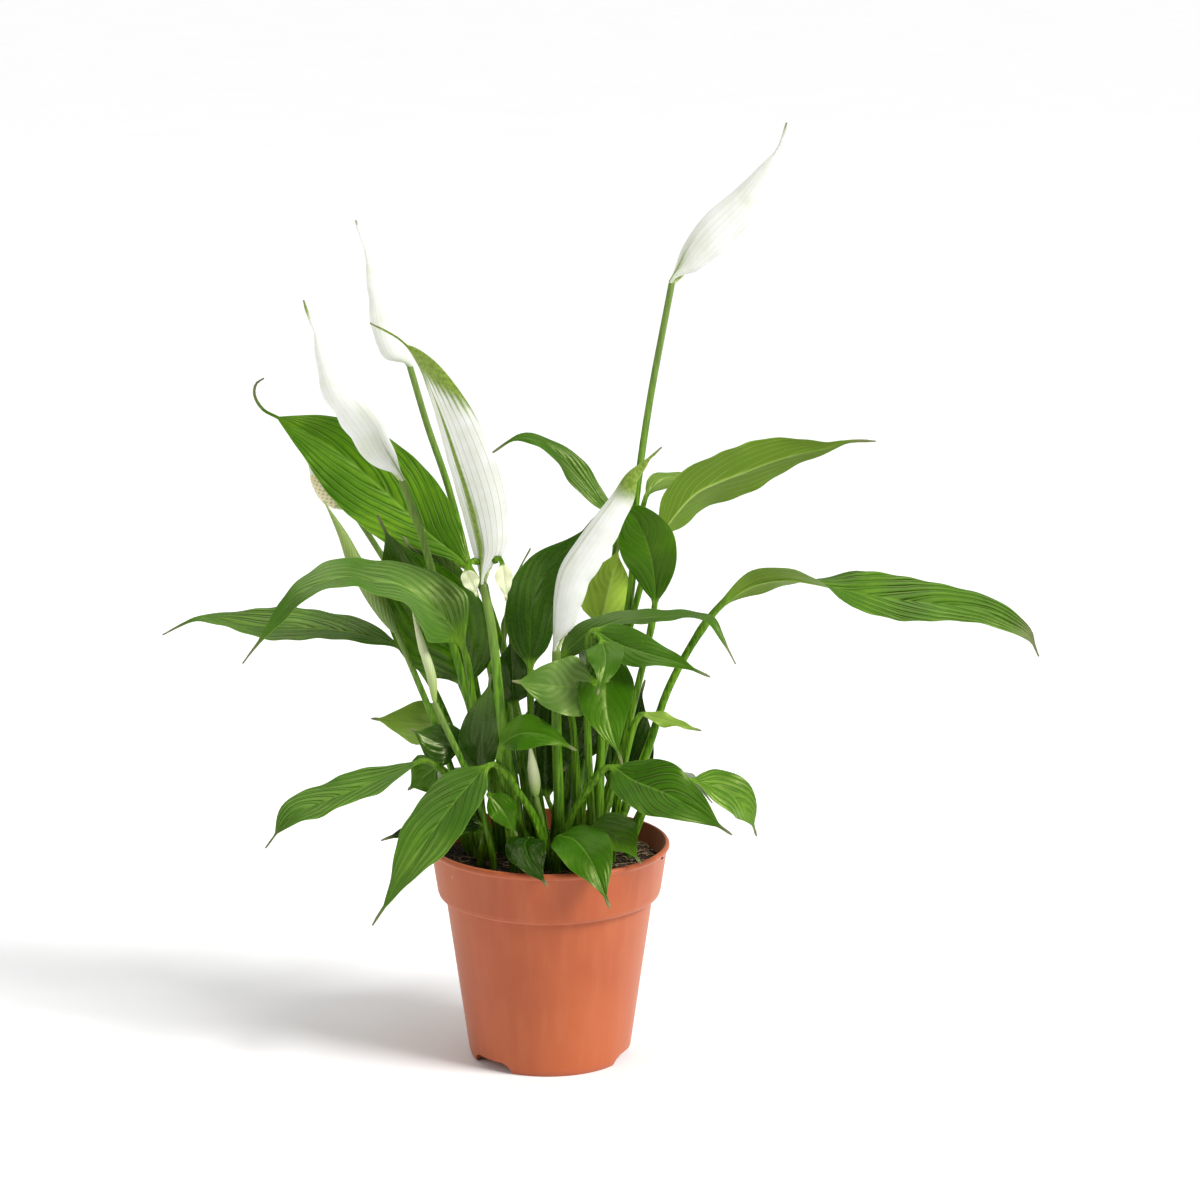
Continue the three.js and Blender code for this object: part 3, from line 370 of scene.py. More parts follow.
# a point of a smooth path through the given points, evenly tempered by their distances
def pathPoint(points, t):
    spot = (len(points) - 1) * min(max(t, 0), 1)
    index = min(int(spot), len(points) - 2)
    weight = spot - index
    first, second = points[index], points[index + 1]
    before = points[index - 1] if index > 0 else 2 * first - second
    after = points[index + 2] if index + 2 < len(points) else 2 * second - first
    steps = (first - before, second - first, after - second)
    gapIn, gap, gapOut = [step.length ** 0.5 for step in steps]
    leave = (steps[0] / gapIn - (second - before) / (gapIn + gap) + steps[1] / gap) * gap
    arrive = (steps[1] / gap - (after - first) / (gap + gapOut) + steps[2] / gapOut) * gap
    bend = 3 * steps[1] - 2 * leave - arrive
    twist = 2 * (first - second) + leave + arrive
    return first + leave * weight + bend * weight ** 2 + twist * weight ** 3


def pathHeading(points, t):
    low, high = max(t - 1e-4, 0), min(t + 1e-4, 1)
    return (pathPoint(points, high) - pathPoint(points, low)).normalized()


# stations a given gap apart on a stretch of a path, each with its place, heading and share
def stationsAlong(points, start, end, gap, least=3):
    samples = 160
    spots = [pathPoint(points, start + (end - start) * i / samples) for i in range(samples + 1)]
    lengths = [0]
    for a, b in zip(spots, spots[1:]):
        lengths.append(lengths[-1] + (b - a).length)
    count = max(least, round(lengths[-1] / gap))
    stations = []
    j = 1
    for i in range(count + 1):
        wanted = lengths[-1] * i / count
        while j < samples and lengths[j] < wanted:
            j += 1
        share = (wanted - lengths[j - 1]) / (lengths[j] - lengths[j - 1])
        t = start + (end - start) * (j - 1 + share) / samples
        stations.append((pathPoint(points, t), pathHeading(points, t), i / count))
    return stations, lengths[-1]


def squareTo(along, wish):
    return (wish - along * wish.dot(along)).normalized()


# which way a blade's upper side faces at a share of its length
def faceAt(faces, share):
    steps = len(faces) - 1
    index = min(int(share * steps), max(steps - 1, 0))
    return Vector(faces[index]).lerp(Vector(faces[min(index + 1, steps)]), share * steps - index)


def placeSection(at, along, up, section):
    right = along.cross(up)
    return [(at + right * across + up * above) * mm for across, above in section]


# a flat grid is rolled onto the rings, its seam merged and its two ends closed
def rollGrid(name, rings, pointMarks, smooth=60):
    around, along = len(rings[0]), len(rings) - 1
    onlySelect()
    bpy.ops.mesh.primitive_grid_add(x_subdivisions=around, y_subdivisions=along, size=1)
    piece = bpy.context.object
    piece.name = piece.data.name = name
    order = []
    for vertex in piece.data.vertices:
        order.append((round((vertex.co.y + 0.5) * along), round((vertex.co.x + 0.5) * around) % around))
    piece.data.vertices.foreach_set("co", [part for i, k in order for part in rings[i][k]])
    for mark, values in pointMarks.items():
        layer = piece.data.attributes.new(mark, "FLOAT_VECTOR", "POINT")
        layer.data.foreach_set("vector", [part for i, k in order for part in values[i][k]])
    editMesh((bpy.ops.mesh.remove_doubles, {"threshold": 1e-6}), (bpy.ops.mesh.fill_holes, {"sides": 0}))
    return smoothBy(piece, smooth)


# leaves: one blade and its stalk, rolled from one grid
stalk = {"rootHeight": 86.5, "collarHeight": 105, "baseRadius": 2.2, "heelRadius": 1.5, "sproutRadius": 1.2,
         "gap": 5, "knee": 0.22, "kneePlace": 9, "kneeReach": 6, "channel": 0.16, "channelWidth": 0.3,
         "wing": 0.5, "wingWidth": 0.2, "wingTop": 0.62, "wingFade": 0.3, "wingStart": 0.05, "markGap": 5}
bladeForm = {"widest": 0.4, "taper": 1.35, "tail": 0.08, "tailHalf": 0.8, "tipRadius": 0.42, "rib": 0.9,
             "fold": 14, "curl": -24, "wave": 1.2, "waves": 2.4, "waveShift": 1.1, "heelBlend": 0.14,
             "tipBlend": 0.04, "middle": 0.6, "edge": 0.26, "groove": 0.35, "ribWidth": 0.9, "gap": 2.2,
             "leastRings": 18, "leastVeins": 6, "veinLead": 0.55, "veinBend": 1.3, "veinStray": 0.5,
             "quilt": 0.45, "ripple": 0.4, "ripplePitch": 16}
halfSteps = 34
outSteps = [0.55 * i / halfSteps + 0.45 * stepUp(i / halfSteps) for i in range(halfSteps + 1)]
acrossSteps = outSteps[::-1] + [-out for out in outSteps[1:]]
sectionPoints = [(across, 1) for across in acrossSteps] + [(-across, -1) for across in acrossSteps]


def roundSection(radius, channel=0.0, wing=0.0):
    section = []
    for across, side in sectionPoints:
        turn = math.radians(90 * side - 86 * side * across)
        dip = channel * bell(across, stalk["channelWidth"]) * (side > 0)
        flare = wing * bell(abs(across) - 1, stalk["wingWidth"]) * (side > 0)
        reach = radius * (1 - dip + flare)
        section.append((reach * math.cos(turn), reach * math.sin(turn)))
    return section


def halfWidthAt(share, half, form):
    along = min(share / (1 - form["tail"]), 1)
    heelPower = form["taper"] * form["widest"] / (1 - form["widest"])
    rise = (along / form["widest"]) ** heelPower
    fall = ((1 - along) / (1 - form["widest"])) ** form["taper"]
    return max(half * rise * fall, form["tailHalf"] if share > form["widest"] else 0)


# the side veins stray a little from even steps, and each blade's half width picks its own run of them
def veinAt(share, length, half, form):
    count = max(length / form["veinPitch"], form["leastVeins"])
    return count * share + form["veinStray"] * math.sin(9 * share + half), count * form["veinLead"]


def bladeSection(share, length, half, form):
    halfWidth = halfWidthAt(share, half, form)
    fold = math.radians(form["fold"])
    curl = math.radians(form["curl"] / 2) or 1e-3
    swell = math.sin(math.pi * share)
    base, lead = veinAt(share, length, half, form)
    section = []
    for across, side in sectionPoints:
        hand = -1 if across < 0 else 1
        out = abs(across)
        bend = fold + curl * out
        reach = halfWidth / curl * (math.sin(bend) - math.sin(fold))
        lift = halfWidth / curl * (math.cos(fold) - math.cos(bend))
        turn = bend * min(out / 0.06, 1)
        phase = wholeTurn * form["waves"] * share + hand * form["waveShift"] + half
        rippling = wholeTurn * share * length / form["ripplePitch"] + 2 * hand + half
        wave = form["wave"] * out ** 2 * math.sin(phase) + form["ripple"] * out ** 5 * math.sin(rippling)
        vein = base - lead * out ** form["veinBend"]
        patch = 0.5 + 0.9 * noise.noise(Vector((6 * share, 2 * across, half)))
        crease = min(out / 0.12, 1) * (1 - out ** 10) * min(swell * 3, 1) * min(halfWidth / 8, 1)
        relief = min(max(patch, 0.1), 1) * crease * (abs(math.sin(math.pi * vein)) ** 0.8 - 0.6)
        ridge = bell(out * halfWidth, form["ribWidth"]) * (1 - share)
        thick = 0.5 * (form["edge"] + (form["middle"] - form["edge"]) * (1 - out ** 2))
        offset = thick - form["groove"] * ridge if side > 0 else -thick - form["rib"] * ridge
        offset += swell * wave + form["quilt"] * relief
        section.append((hand * (reach - math.sin(turn) * offset), lift + math.cos(turn) * offset))
    return section


# rings along a blade, which opens out of its round heel and closes to a round tip
def bladeRings(points, heel, leaf, form, heelRadius, channel=0.0, sectionAt=bladeSection):
    stations, length = stationsAlong(points, heel, 1, form["gap"], form["leastRings"])
    rings, shares = [], []
    for at, along, share in stations:
        up = squareTo(along, faceAt(leaf["faces"], share))
        atHeel = share < 0.5
        opened = stepUp(share / form["heelBlend"] if atHeel else (1 - share) / form["tipBlend"])
        start = roundSection(heelRadius if atHeel else form["tipRadius"], channel)
        blade = sectionAt(share, length, leaf["half"], form)
        section = [(a + (c - a) * opened, b + (d - b) * opened) for (a, b), (c, d) in zip(start, blade)]
        rings.append(placeSection(at, along, up, section))
        shares.append((share, opened if atHeel else 1))
    return rings, shares, length


# the stalk's rings turn as little as possible on the way down from the heel
def stalkRings(stations, length, up, base, heel):
    rings, shares = [], []
    for at, along, share in reversed(stations):
        up = squareTo(along, up)
        knee = 1 + stalk["knee"] * bell((1 - share) * length - stalk["kneePlace"], stalk["kneeReach"])
        wing = stepUp((stalk["wingTop"] - share) / stalk["wingFade"]) * stepUp(share / stalk["wingStart"])
        section = roundSection((base + (heel - base) * share) * knee, stalk["channel"], stalk["wing"] * wing)
        rings.insert(0, placeSection(at, along, up, section))
        shares.insert(0, share)
    return rings, shares


def footRing(root, ring):
    foot = Vector((*root, stalk["rootHeight"])) * mm
    middle = sum(ring, Vector()) / len(ring)
    return [foot + Vector((point.x - middle.x, point.y - middle.y, 0)) for point in ring]


def growBlade(name, leaf, look, root=None):
    form = {**bladeForm, "veinPitch": look[3], **leaf.get("form", {})}
    below, base, collar = leaf.get("stalk", []), stalk["sproutRadius"], 0
    heelRadius = base
    if root:
        below = [(*root, stalk["rootHeight"]), (*root, stalk["collarHeight"]), *below]
        base, heelRadius, collar = stalk["baseRadius"], leaf.get("heelRadius", stalk["heelRadius"]), 1
    points = [Vector(point) for point in [*below, *leaf["blade"]]]
    steps = len(points) - 1
    heel = len(below) / steps
    rings, shares, bladeLength = bladeRings(points, heel, leaf, form, heelRadius, stalk["channel"])
    lower, length = stationsAlong(points, collar / steps, heel, stalk["gap"])
    up = squareTo(lower[-1][1], faceAt(leaf["faces"], 0))
    lowRings, lowShares = stalkRings(lower, length, up, base, heelRadius)
    rings = lowRings[:-1] + rings
    places, parts = [], []
    for share in lowShares[:-1]:
        below = (1 - share) * length
        places.append([(across, -below / stalk["markGap"], 0) for across, side in sectionPoints])
        parts.append([(side, 0, share - 1) for across, side in sectionPoints])
    for share, opened in shares:
        vein = veinAt(share, bladeLength, leaf["half"], form)
        places.append([(across, *vein) for across, side in sectionPoints])
        parts.append([(side, opened, share) for across, side in sectionPoints])
    if root:
        rings, places, parts = [footRing(root, rings[0]), *rings], [places[0], *places], [parts[0], *parts]
    looks = [[look[:3]] * len(sectionPoints)] * len(rings)
    return rollGrid(name, rings, {"leafPlace": places, "leafPart": parts, "leafLook": looks})


# each leaf's look is how light it is (its own tone with painted light and shade), how much painted sheen it
# takes, how ribbed it is, and the step between its side veins in mm
plainLook = (0.3, 0.05, 0.6, 13)
leaves = {
    "leaf_left_broad": dict(root=(-9, 7), half=23, look=(0.7, 0.02, 1.1, 18),
        form=dict(tail=0.17, widest=0.5, taper=1), stalk=[(-14, 16, 160)],
        blade=[(-36, 21, 239), (-61, 34, 260), (-86, 48, 281), (-112, 58, 300), (-137, 62, 313),
            (-144, 62, 317), (-148, 62, 324), (-147, 61, 330), (-143, 60, 333)],
        faces=[(0.1, -0.9, 0.45), (0, -0.8, 0.6), (-0.2, -0.8, 0.5)]),
    "leaf_left_arching": dict(root=(-9, -11), half=18, look=(0.55, 0.6, 0.9, 16),
        form=dict(widest=0.25, taper=0.9), stalk=[(-22, -12, 134), (-31, -12, 161), (-36, -17, 183)],
        blade=[(-41, -18, 212), (-48, -20, 225), (-59, -23, 237), (-72, -27, 246), (-85, -31, 249),
            (-95, -36, 252), (-106, -42, 251), (-118, -48, 246), (-131, -54, 232), (-145, -60, 215)],
        faces=[(0.3, -0.85, 0.4), (0, -0.4, 0.95), (0, -0.25, 1), (-0.5, -0.35, 0.8)]),
    "leaf_left_low": dict(root=(-33, 5), half=17, look=(0.7, 0.3, 1.7, 22), form=dict(widest=0.5),
        stalk=[(-46, 6, 159)],
        blade=[(-69, 13, 202), (-91, 16, 211), (-107, 19, 213), (-124, 21, 214), (-143, 23, 214),
            (-160, 25, 216), (-176, 26, 217), (-193, 26, 209)],
        faces=[(0, -0.3, 0.95), (0, -0.25, 1), (0, -0.25, 1)]),
    "leaf_left_pointed": dict(root=(-25, 4), half=15, look=(0.1, 0.1, 0.4, 12), stalk=[(-34, 9, 174)],
        blade=[(-45, 13, 222), (-53, 15, 233), (-64, 16, 247), (-72, 18, 261)],
        faces=[(0.4, -0.9, 0.2), (0.2, -0.95, 0.1)]),
    "leaf_left_dark": dict(finish="deepLeaf", root=(-17, -11), half=24, look=(0.75, 0, 0.5, 14),
        stalk=[(-19, -2, 135), (-27, 4, 160)],
        blade=[(-40, 6, 184), (-43, 6, 197), (-50, 6, 213), (-61, 7, 230), (-72, 8, 247), (-79, 8, 263),
            (-84, 8, 274)], faces=[(0.05, -1, 0.1), (-0.2, -0.9, 0.3)]),
    "leaf_left_short": dict(finish="paleLeaf", root=(-17, 5), half=12, look=(0.5, 0.5, 0.4, 12),
        stalk=[(-30, 13, 140)], blade=[(-48, 14, 164), (-67, 16, 166), (-89, 18, 168)],
        faces=[(0, -0.7, 0.7), (0, -0.8, 0.5)]),
    "leaf_left_drooping": dict(root=(-33, -11), half=14, look=(0.65, 0.5, 1.2, 16),
        form=dict(widest=0.58, taper=1), stalk=[(-42, -17, 138)],
        blade=[(-59, -22, 157), (-70, -25, 154), (-85, -29, 148), (-97, -33, 144), (-113, -38, 139),
            (-124, -42, 135), (-137, -48, 120)], faces=[(0, -0.4, 0.9), (-0.1, -0.3, 1), (-0.2, -0.4, 0.9)]),
    "leaf_left_lime": dict(root=(-41, 4), half=11, look=(0.6, 0, 0.4, 12), stalk=[(-47, 9, 130)],
        blade=[(-55, 12, 144), (-62, 16, 139), (-71, 18, 131)], faces=[(-0.2, -0.9, 0.4)]),
    "leaf_front_left": dict(root=(-1, -26), half=17, look=(0.62, 0.45, 0.85, 17),
        stalk=[(-6, -31, 129), (-13, -37, 143)],
        blade=[(-26, -40, 160), (-38, -46, 151), (-52, -55, 135), (-66, -64, 116), (-84, -74, 89)],
        faces=[(-0.3, -0.6, 0.75), (-0.5, -0.6, 0.6)]),
    "leaf_low_left_dark": dict(finish="deepLeaf", root=(-33, -19), half=12,
        blade=[(-32, -21, 122), (-43, -26, 127), (-58, -33, 126), (-71, -40, 125), (-81, -45, 123)],
        faces=[(-0.3, -0.5, 0.8), (-0.2, -0.5, 0.8)]),
    "leaf_upright_dark": dict(finish="deepLeaf", root=(-29, -4), half=11, look=(0.6, 0.1, 0.2, 14),
        stalk=[(-33, -13, 130)], blade=[(-34, -17, 148), (-33, -18, 168), (-30, -19, 185), (-28, -20, 200)],
        faces=[(-0.3, -0.95, 0)],
        sprout=dict(half=11, stalk=[(-33, -13, 131), (-37, -11, 146)], blade=[(-43, -9, 158),
            (-56, -12, 164), (-68, -14, 171)], faces=[(0.2, -0.9, 0.3)])),
    "leaf_inner_dark": dict(finish="deepLeaf", root=(-5, -1), half=12, look=(0.4, 0.05, 0.3, 14),
        stalk=[(-11, 0, 150)], blade=[(-17, 1, 179), (-18, 1, 196), (-19, 2, 214)], faces=[(0.1, -1, 0)]),
    "leaf_spike": dict(finish="paleLeaf", root=(-13, -3), half=2.6, look=(0, 0.2, 0.2, 12),
        stalk=[(-20, 6, 165)], blade=[(-22, 10, 205), (-21, 11, 224), (-16, 12, 242), (-9, 12, 256)],
        faces=[(0.8, -0.6, 0)]),
    "leaf_centre_dark": dict(finish="deepLeaf", root=(-2, -9), half=13, look=(0.66, 0.05, 0.5, 18),
        stalk=[(-8, -8, 155)],
        blade=[(-9, -5, 197), (-9, -3, 213), (-8, 0, 230), (-2, 2, 246), (12, 4, 260), (24, 6, 274)],
        faces=[(0, -1, 0), (-0.3, -0.95, 0.2)]),
    "leaf_top": dict(root=(6, 16), half=7, look=(0.45, 0.3, 0.4, 14), stalk=[(23, 31, 200)],
        blade=[(33, 34, 265), (24, 37, 276), (15, 39, 287), (6, 40, 297), (-4, 41, 304), (-15, 42, 306),
            (-29, 42, 298)], faces=[(0.3, -0.7, 0.7), (0.2, -0.6, 0.8)]),
    "leaf_lime": dict(finish="paleLeaf", root=(3, 8), half=14, look=(0.7, 0, 0.6, 12), stalk=[(10, 18, 160)],
        blade=[(25, 21, 214), (29, 24, 232), (35, 27, 255)], faces=[(-0.2, 0.95, 0.2)]),
    "leaf_shaded_hanging": dict(finish="deepLeaf", root=(11, -2), half=15,
        stalk=[(17, 3, 150), (22, 6, 172)], blade=[(21, 4, 177), (15, 2, 162), (7, -2, 146)],
        faces=[(-0.3, -0.8, 0.5), (-0.3, -0.9, 0.2)]),
    "leaf_centre_front": dict(root=(23, -14), half=14, look=(0.5, 0.05, 0.25, 14), stalk=[(26, -15, 165)],
        blade=[(29, -19, 209), (28, -34, 200), (29, -46, 186), (36, -55, 164)],
        faces=[(0, -0.7, 0.7), (0, -0.9, 0.4)],
        sprout=dict(half=15, look=(0.55, 0.85, 0.35, 15), form=dict(widest=0.3, taper=0.9),
            stalk=[(31, -33, 200), (27, -35, 200)], blade=[(24, -36, 200), (11, -38, 198), (-4, -40, 200),
            (-17, -42, 202)], faces=[(0, -0.9, 0.4)])),
    "leaf_small_front": dict(root=(-17, -28), half=9, look=(0.54, 0, 0.15, 14), stalk=[(-20, -33, 140)],
        blade=[(-23, -38, 167), (-13, -43, 176), (-1, -46, 176), (14, -48, 169)], faces=[(0, -0.8, 0.6)],
        sprout=dict(half=7, stalk=[(-19, -30, 123), (-25, -34, 137)], blade=[(-29, -37, 144),
            (-23, -39, 138), (-15, -40, 124)], faces=[(0, -0.9, 0.4)])),
    "leaf_right_upper": dict(finish="paleLeaf", root=(19, 3), half=17, look=(0.05, 0.25, 0.5, 16),
        stalk=[(32, 9, 180)],
        blade=[(52, 12, 257), (63, 18, 273), (73, 23, 282), (86, 29, 287), (99, 34, 291), (112, 39, 295),
            (125, 43, 298), (138, 46, 300), (149, 48, 303), (163, 49, 303)],
        faces=[(-0.3, 0.8, 0.5), (-0.2, 0.85, 0.4)],
        sprout=dict(half=6, stalk=[(47, 11, 236), (46, 19, 262)], blade=[(48, 27, 279), (57, 34, 286),
            (70, 40, 283), (80, 44, 274)], faces=[(0, -0.5, 0.9), (0.3, -0.5, 0.8)])),
    "leaf_right_upright": dict(root=(22, -6), half=14, look=(0.62, 0, 0.4, 13),
        form=dict(widest=0.6, taper=0.8), stalk=[(38, -3, 165)],
        blade=[(52, -1, 229), (52, -2, 243), (50, -3, 256), (46, -3, 268), (40, -3, 277), (33, -2, 281)],
        faces=[(0, -1, 0), (-0.2, -0.95, 0.1)]),
    "leaf_far_right": dict(root=(31, -2), half=14, heelRadius=1.8, look=(0.72, 0.4, 1.8, 26),
        form=dict(widest=0.5, taper=0.7, tail=0.04), stalk=[(49, -1, 157), (60, 0, 190)],
        blade=[(81, 0, 226), (91, 0, 235), (103, 0, 241), (116, 0, 243), (131, 0, 241), (148, -1, 237),
            (172, -2, 233), (197, -5, 231), (214, -7, 228), (226, -9, 223), (235, -11, 217),
            (240, -12, 207)],
        faces=[(-0.4, 0.85, 0.3), (-0.3, 0.85, 0.4), (0, 0.3, 1), (0, -0.5, 0.85), (0, -0.6, 0.8),
            (0, -0.6, 0.8), (0, -0.6, 0.8), (0.1, -0.6, 0.8)]),
    "leaf_right_arch": dict(root=(14, -10), half=8, look=(0.35, 0.35, 0.2, 14),
        form=dict(wave=0.4, widest=0.3, taper=0.6), stalk=[(12, -11, 172)],
        blade=[(6, -11, 202), (17, -12, 217), (34, -13, 225), (52, -15, 227), (68, -19, 229), (78, -24, 228),
            (84, -28, 220), (91, -32, 208)],
        faces=[(-0.4, -0.8, 0.4), (0, -0.3, 1), (0, -0.15, 1), (0.8, -0.3, 0.5)]),
    "leaf_right_front": dict(root=(22, -22), half=10, look=(0.44, 0.15, 0.35, 14), form=dict(widest=0.28),
        stalk=[(19, -18, 182), (20, -20, 205)],
        blade=[(21, -26, 223), (34, -32, 218), (47, -38, 215), (62, -44, 212), (78, -50, 206)],
        faces=[(0, -0.8, 0.6)],
        sprout=dict(half=9, form=dict(widest=0.3), stalk=[(22, -28, 222), (24, -31, 222)],
            blade=[(26, -34, 220), (28, -46, 212), (24, -57, 199)], faces=[(0, -0.7, 0.7), (0, -0.9, 0.4)])),
    "leaf_low_right": dict(root=(8, -25), half=16, look=(0.4, 0.1, 0.7, 16),
        stalk=[(10, -25, 125), (18, -29, 142)],
        blade=[(29, -31, 156), (42, -38, 151), (58, -45, 146), (74, -50, 138), (89, -56, 129)],
        faces=[(0, -0.6, 0.8), (-0.1, -0.7, 0.7)]),
    "leaf_low_right_back": dict(root=(39, -4), half=12, look=(0.75, 0.45, 1, 12), form=dict(widest=0.5),
        stalk=[(56, 0, 140)],
        blade=[(69, 4, 140), (80, 9, 136), (91, 13, 130), (99, 16, 121), (104, 18, 107)],
        faces=[(0.1, -0.6, 0.8), (0.3, -0.7, 0.6)]),
    "leaf_thin": dict(finish="paleLeaf", root=(31, -10), half=4, look=(0.6, 0.6, 0.2, 12),
        stalk=[(37, -15, 152)], blade=[(45, -14, 178), (52, -15, 177), (60, -16, 175), (75, -18, 171)],
        faces=[(0, -0.6, 0.8)]),
    "leaf_rim_left": dict(finish="deepLeaf", root=(-6, -34), half=10, look=(0.28, 0, 0.2, 14),
        blade=[(-8, -36, 121), (-11, -45, 121), (-8, -55, 115), (0, -65, 106)],
        faces=[(-0.2, -0.3, 0.9), (0, -0.8, 0.6)]),
    "leaf_rim_middle": dict(root=(4, -33), half=14, look=(0.46, 0, 0.2, 14),
        blade=[(4, -36, 121), (12, -46, 124), (21, -60, 117), (30, -72, 97)],
        faces=[(0, -0.3, 0.9), (0.1, -0.85, 0.5)]),
    "leaf_rim_right": dict(root=(15, -27), half=13, look=(0.7, 0.15, 0.5, 12),
        blade=[(19, -28, 122), (28, -34, 125), (37, -42, 121), (45, -50, 113)],
        faces=[(0, -0.4, 0.9), (0.2, -0.7, 0.7)]),
    "leaf_back_left": dict(finish="deepLeaf", root=(-10, 22), half=14, stalk=[(-18, 32, 160)],
        blade=[(-30, 48, 192), (-45, 70, 206), (-58, 94, 204), (-66, 116, 188)],
        faces=[(0, 0.2, 1), (-0.4, 0.5, 0.8)]),
    "leaf_back_middle": dict(finish="deepLeaf", root=(14, 24), half=14, stalk=[(20, 34, 150)],
        blade=[(25, 48, 174), (28, 70, 188), (29, 96, 188), (27, 122, 172)],
        faces=[(0, 0.2, 1), (0, 0.6, 0.8)],
        sprout=dict(half=17, stalk=[(13, 25, 104), (4, 34, 112)], blade=[(-1, 38, 120), (-2, 40, 145),
            (0, 42, 170), (5, 44, 189)], faces=[(0, -1, 0)])),
    "leaf_back_low_left": dict(finish="deepLeaf", root=(-17, 29), half=13,
        blade=[(-26, 40, 126), (-42, 60, 131), (-54, 82, 120), (-61, 102, 98)],
        faces=[(-0.2, 0.3, 0.9), (-0.5, 0.6, 0.6)]),
    "leaf_back_low_right": dict(finish="deepLeaf", root=(23, 27), half=13,
        blade=[(34, 38, 124), (54, 58, 128), (71, 80, 120), (84, 98, 102)],
        faces=[(0.2, 0.3, 0.9), (0.5, 0.6, 0.6)],
        sprout=dict(half=13, stalk=[(25, 28, 105), (31, 34, 112)], blade=[(35, 37, 121), (39, 38, 141),
            (43, 38, 165), (48, 38, 183)], faces=[(0, -1, 0)])),
}
for name, leaf in leaves.items():
    look = leaf.get("look", plainLook)
    piece = growBlade(name + "_grown", leaf, look, leaf["root"])
    if "sprout" in leaf:
        piece = joinAll([piece, growBlade("sprout", leaf["sprout"], leaf["sprout"].get("look", look))])
    finish = leaf.get("finish", "leaf")
    settle(piece, leafPaints[finish], leafTones[finish]["slot"], name)
print("leaves grown:", len(leaves))

# stems, spathes, spadices and buds
stemForm = {"around": 20, "gap": 5, "leastRings": 6, "ridges": 5, "ridge": 0.03, "cap": 0.55, "joinUp": 1.6,
            "budJoinUp": 1.4}
spatheForm = {**bladeForm, "widest": 0.42, "taper": 1.2, "tail": 0.14, "rib": 0.5, "fold": 0, "wave": 0,
              "heelBlend": 0.12, "middle": 0.7, "edge": 0.3, "groove": 0.15, "ribWidth": 0.8, "gap": 1.6,
              "leastRings": 30, "veinPitch": 12, "quilt": 0, "ripple": 0.5, "ripplePitch": 19, "veins": 6,
              "veinRidge": 0.07}
bloomForm = {"gap": 0.6, "shift": 1.1, "footRadius": 1.1}
spadixForm = {"stipe": 7, "stipeRadius": 0.9, "stipeTop": 0.6, "radius": 3.3, "length": 25, "footGap": 2.2,
              "hollow": 4.6, "shoulder": 0.16, "shoulderShare": 0.6, "topShare": 0.5, "tipLength": 1.1,
              "tipShare": 0.22, "tipRound": 0.28, "around": 56, "gap": 0.36, "turnsLeft": 5, "turnsRight": 8,
              "knobGap": 2.5, "knob": 0.42, "knobMiddle": 0.6}
budForm = {"gap": 0.5, "skew": 0.7, "from": 0.08, "to": 0.97, "leastRadius": 0.4, "around": 44,
           "ringGap": 0.9, "leastRings": 24, "inner": 0.94, "overlap": 0.12, "edge": 0.06, "twist": 1.1}
# where each spathe is green or dry: its midrib, tip, hood and foot, and how plain its veins are
plainTint = {"rib": 0.6, "ribWidth": 0.05, "ribEnd": 0.5, "ribFade": 0.35, "tip": 0.8, "tipStart": 0.84,
             "tipFade": 0.16, "hood": 0, "hoodStart": 0.44, "hoodArch": 0.14, "hoodFade": 0.26, "foot": 0.5,
             "footEnd": 0.16, "dry": 0.85, "dryStart": 0.95, "dryFade": 0.05, "veined": 0.15}
scrapLook = (0.5, 0.2, 0.4, 12)


def circleTurns(around):
    return [wholeTurn * k / around for k in range(around)]


def circleSection(reaches):
    turns = circleTurns(len(reaches))
    return [(reach * math.cos(turn), reach * math.sin(turn)) for turn, reach in zip(turns, reaches)]


def rollStem(name, root, points, radii, top):
    every = [*map(Vector, [(*root, stalk["rootHeight"]), (*root, stalk["collarHeight"]), *points])]
    stations, length = stationsAlong(every, 1 / (len(every) - 1), 1, stemForm["gap"], stemForm["leastRings"])
    end, heading, _ = stations[-1]
    stations.append((end + heading * top, heading, 1))
    turns = circleTurns(stemForm["around"])
    ridged = [1 + stemForm["ridge"] * math.cos(stemForm["ridges"] * turn) for turn in turns]
    up = squareTo(heading, Vector((0, -1, 0)))
    rings, places = [], []
    for at, along, share in reversed(stations):
        up = squareTo(along, up)
        radius = (radii[0] + (radii[1] - radii[0]) * share) * (1 if rings else stemForm["cap"])
        rings.insert(0, placeSection(at, along, up, circleSection([radius * ridge for ridge in ridged])))
        places.insert(0, [(turn / wholeTurn, share * length, share) for turn in turns])
    rings.insert(0, footRing(root, rings[0]))
    places.insert(0, places[0])
    return rollGrid(name, rings, {"stemPlace": places}), end, heading


def spatheSection(share, length, half, form):
    section = []
    for (across, _), (x, z) in zip(sectionPoints, bladeSection(share, length, half, form)):
        out = abs(across)
        ridge = math.cos(wholeTurn * form["veins"] * out) * (1 - out ** 6) * min(out * 6, 1)
        section.append((x, z + form["veinRidge"] * ridge * math.sin(math.pi * share)))
    return section


def tintAt(tint, across, side, share):
    out = abs(across)
    width = tint["ribWidth"] * (1 + 3 * max(1 - share / tint["ribEnd"], 0))
    rib = tint["rib"] * bell(out, width) * stepUp((tint["ribEnd"] - share) / tint["ribFade"]) * (side < 0)
    tip = tint["tip"] * stepUp((share - tint["tipStart"]) / tint["tipFade"])
    hoodStart = tint["hoodStart"] + tint["hoodArch"] * (1 - out)
    hood = tint["hood"] * stepUp((share - hoodStart) / tint["hoodFade"])
    foot = tint["foot"] * stepUp((tint["footEnd"] - share) / tint["footEnd"])
    brown = tint["dry"] * stepUp((share - tint["dryStart"]) / tint["dryFade"])
    return max(rib, tip, hood, foot), brown, tint["veined"]


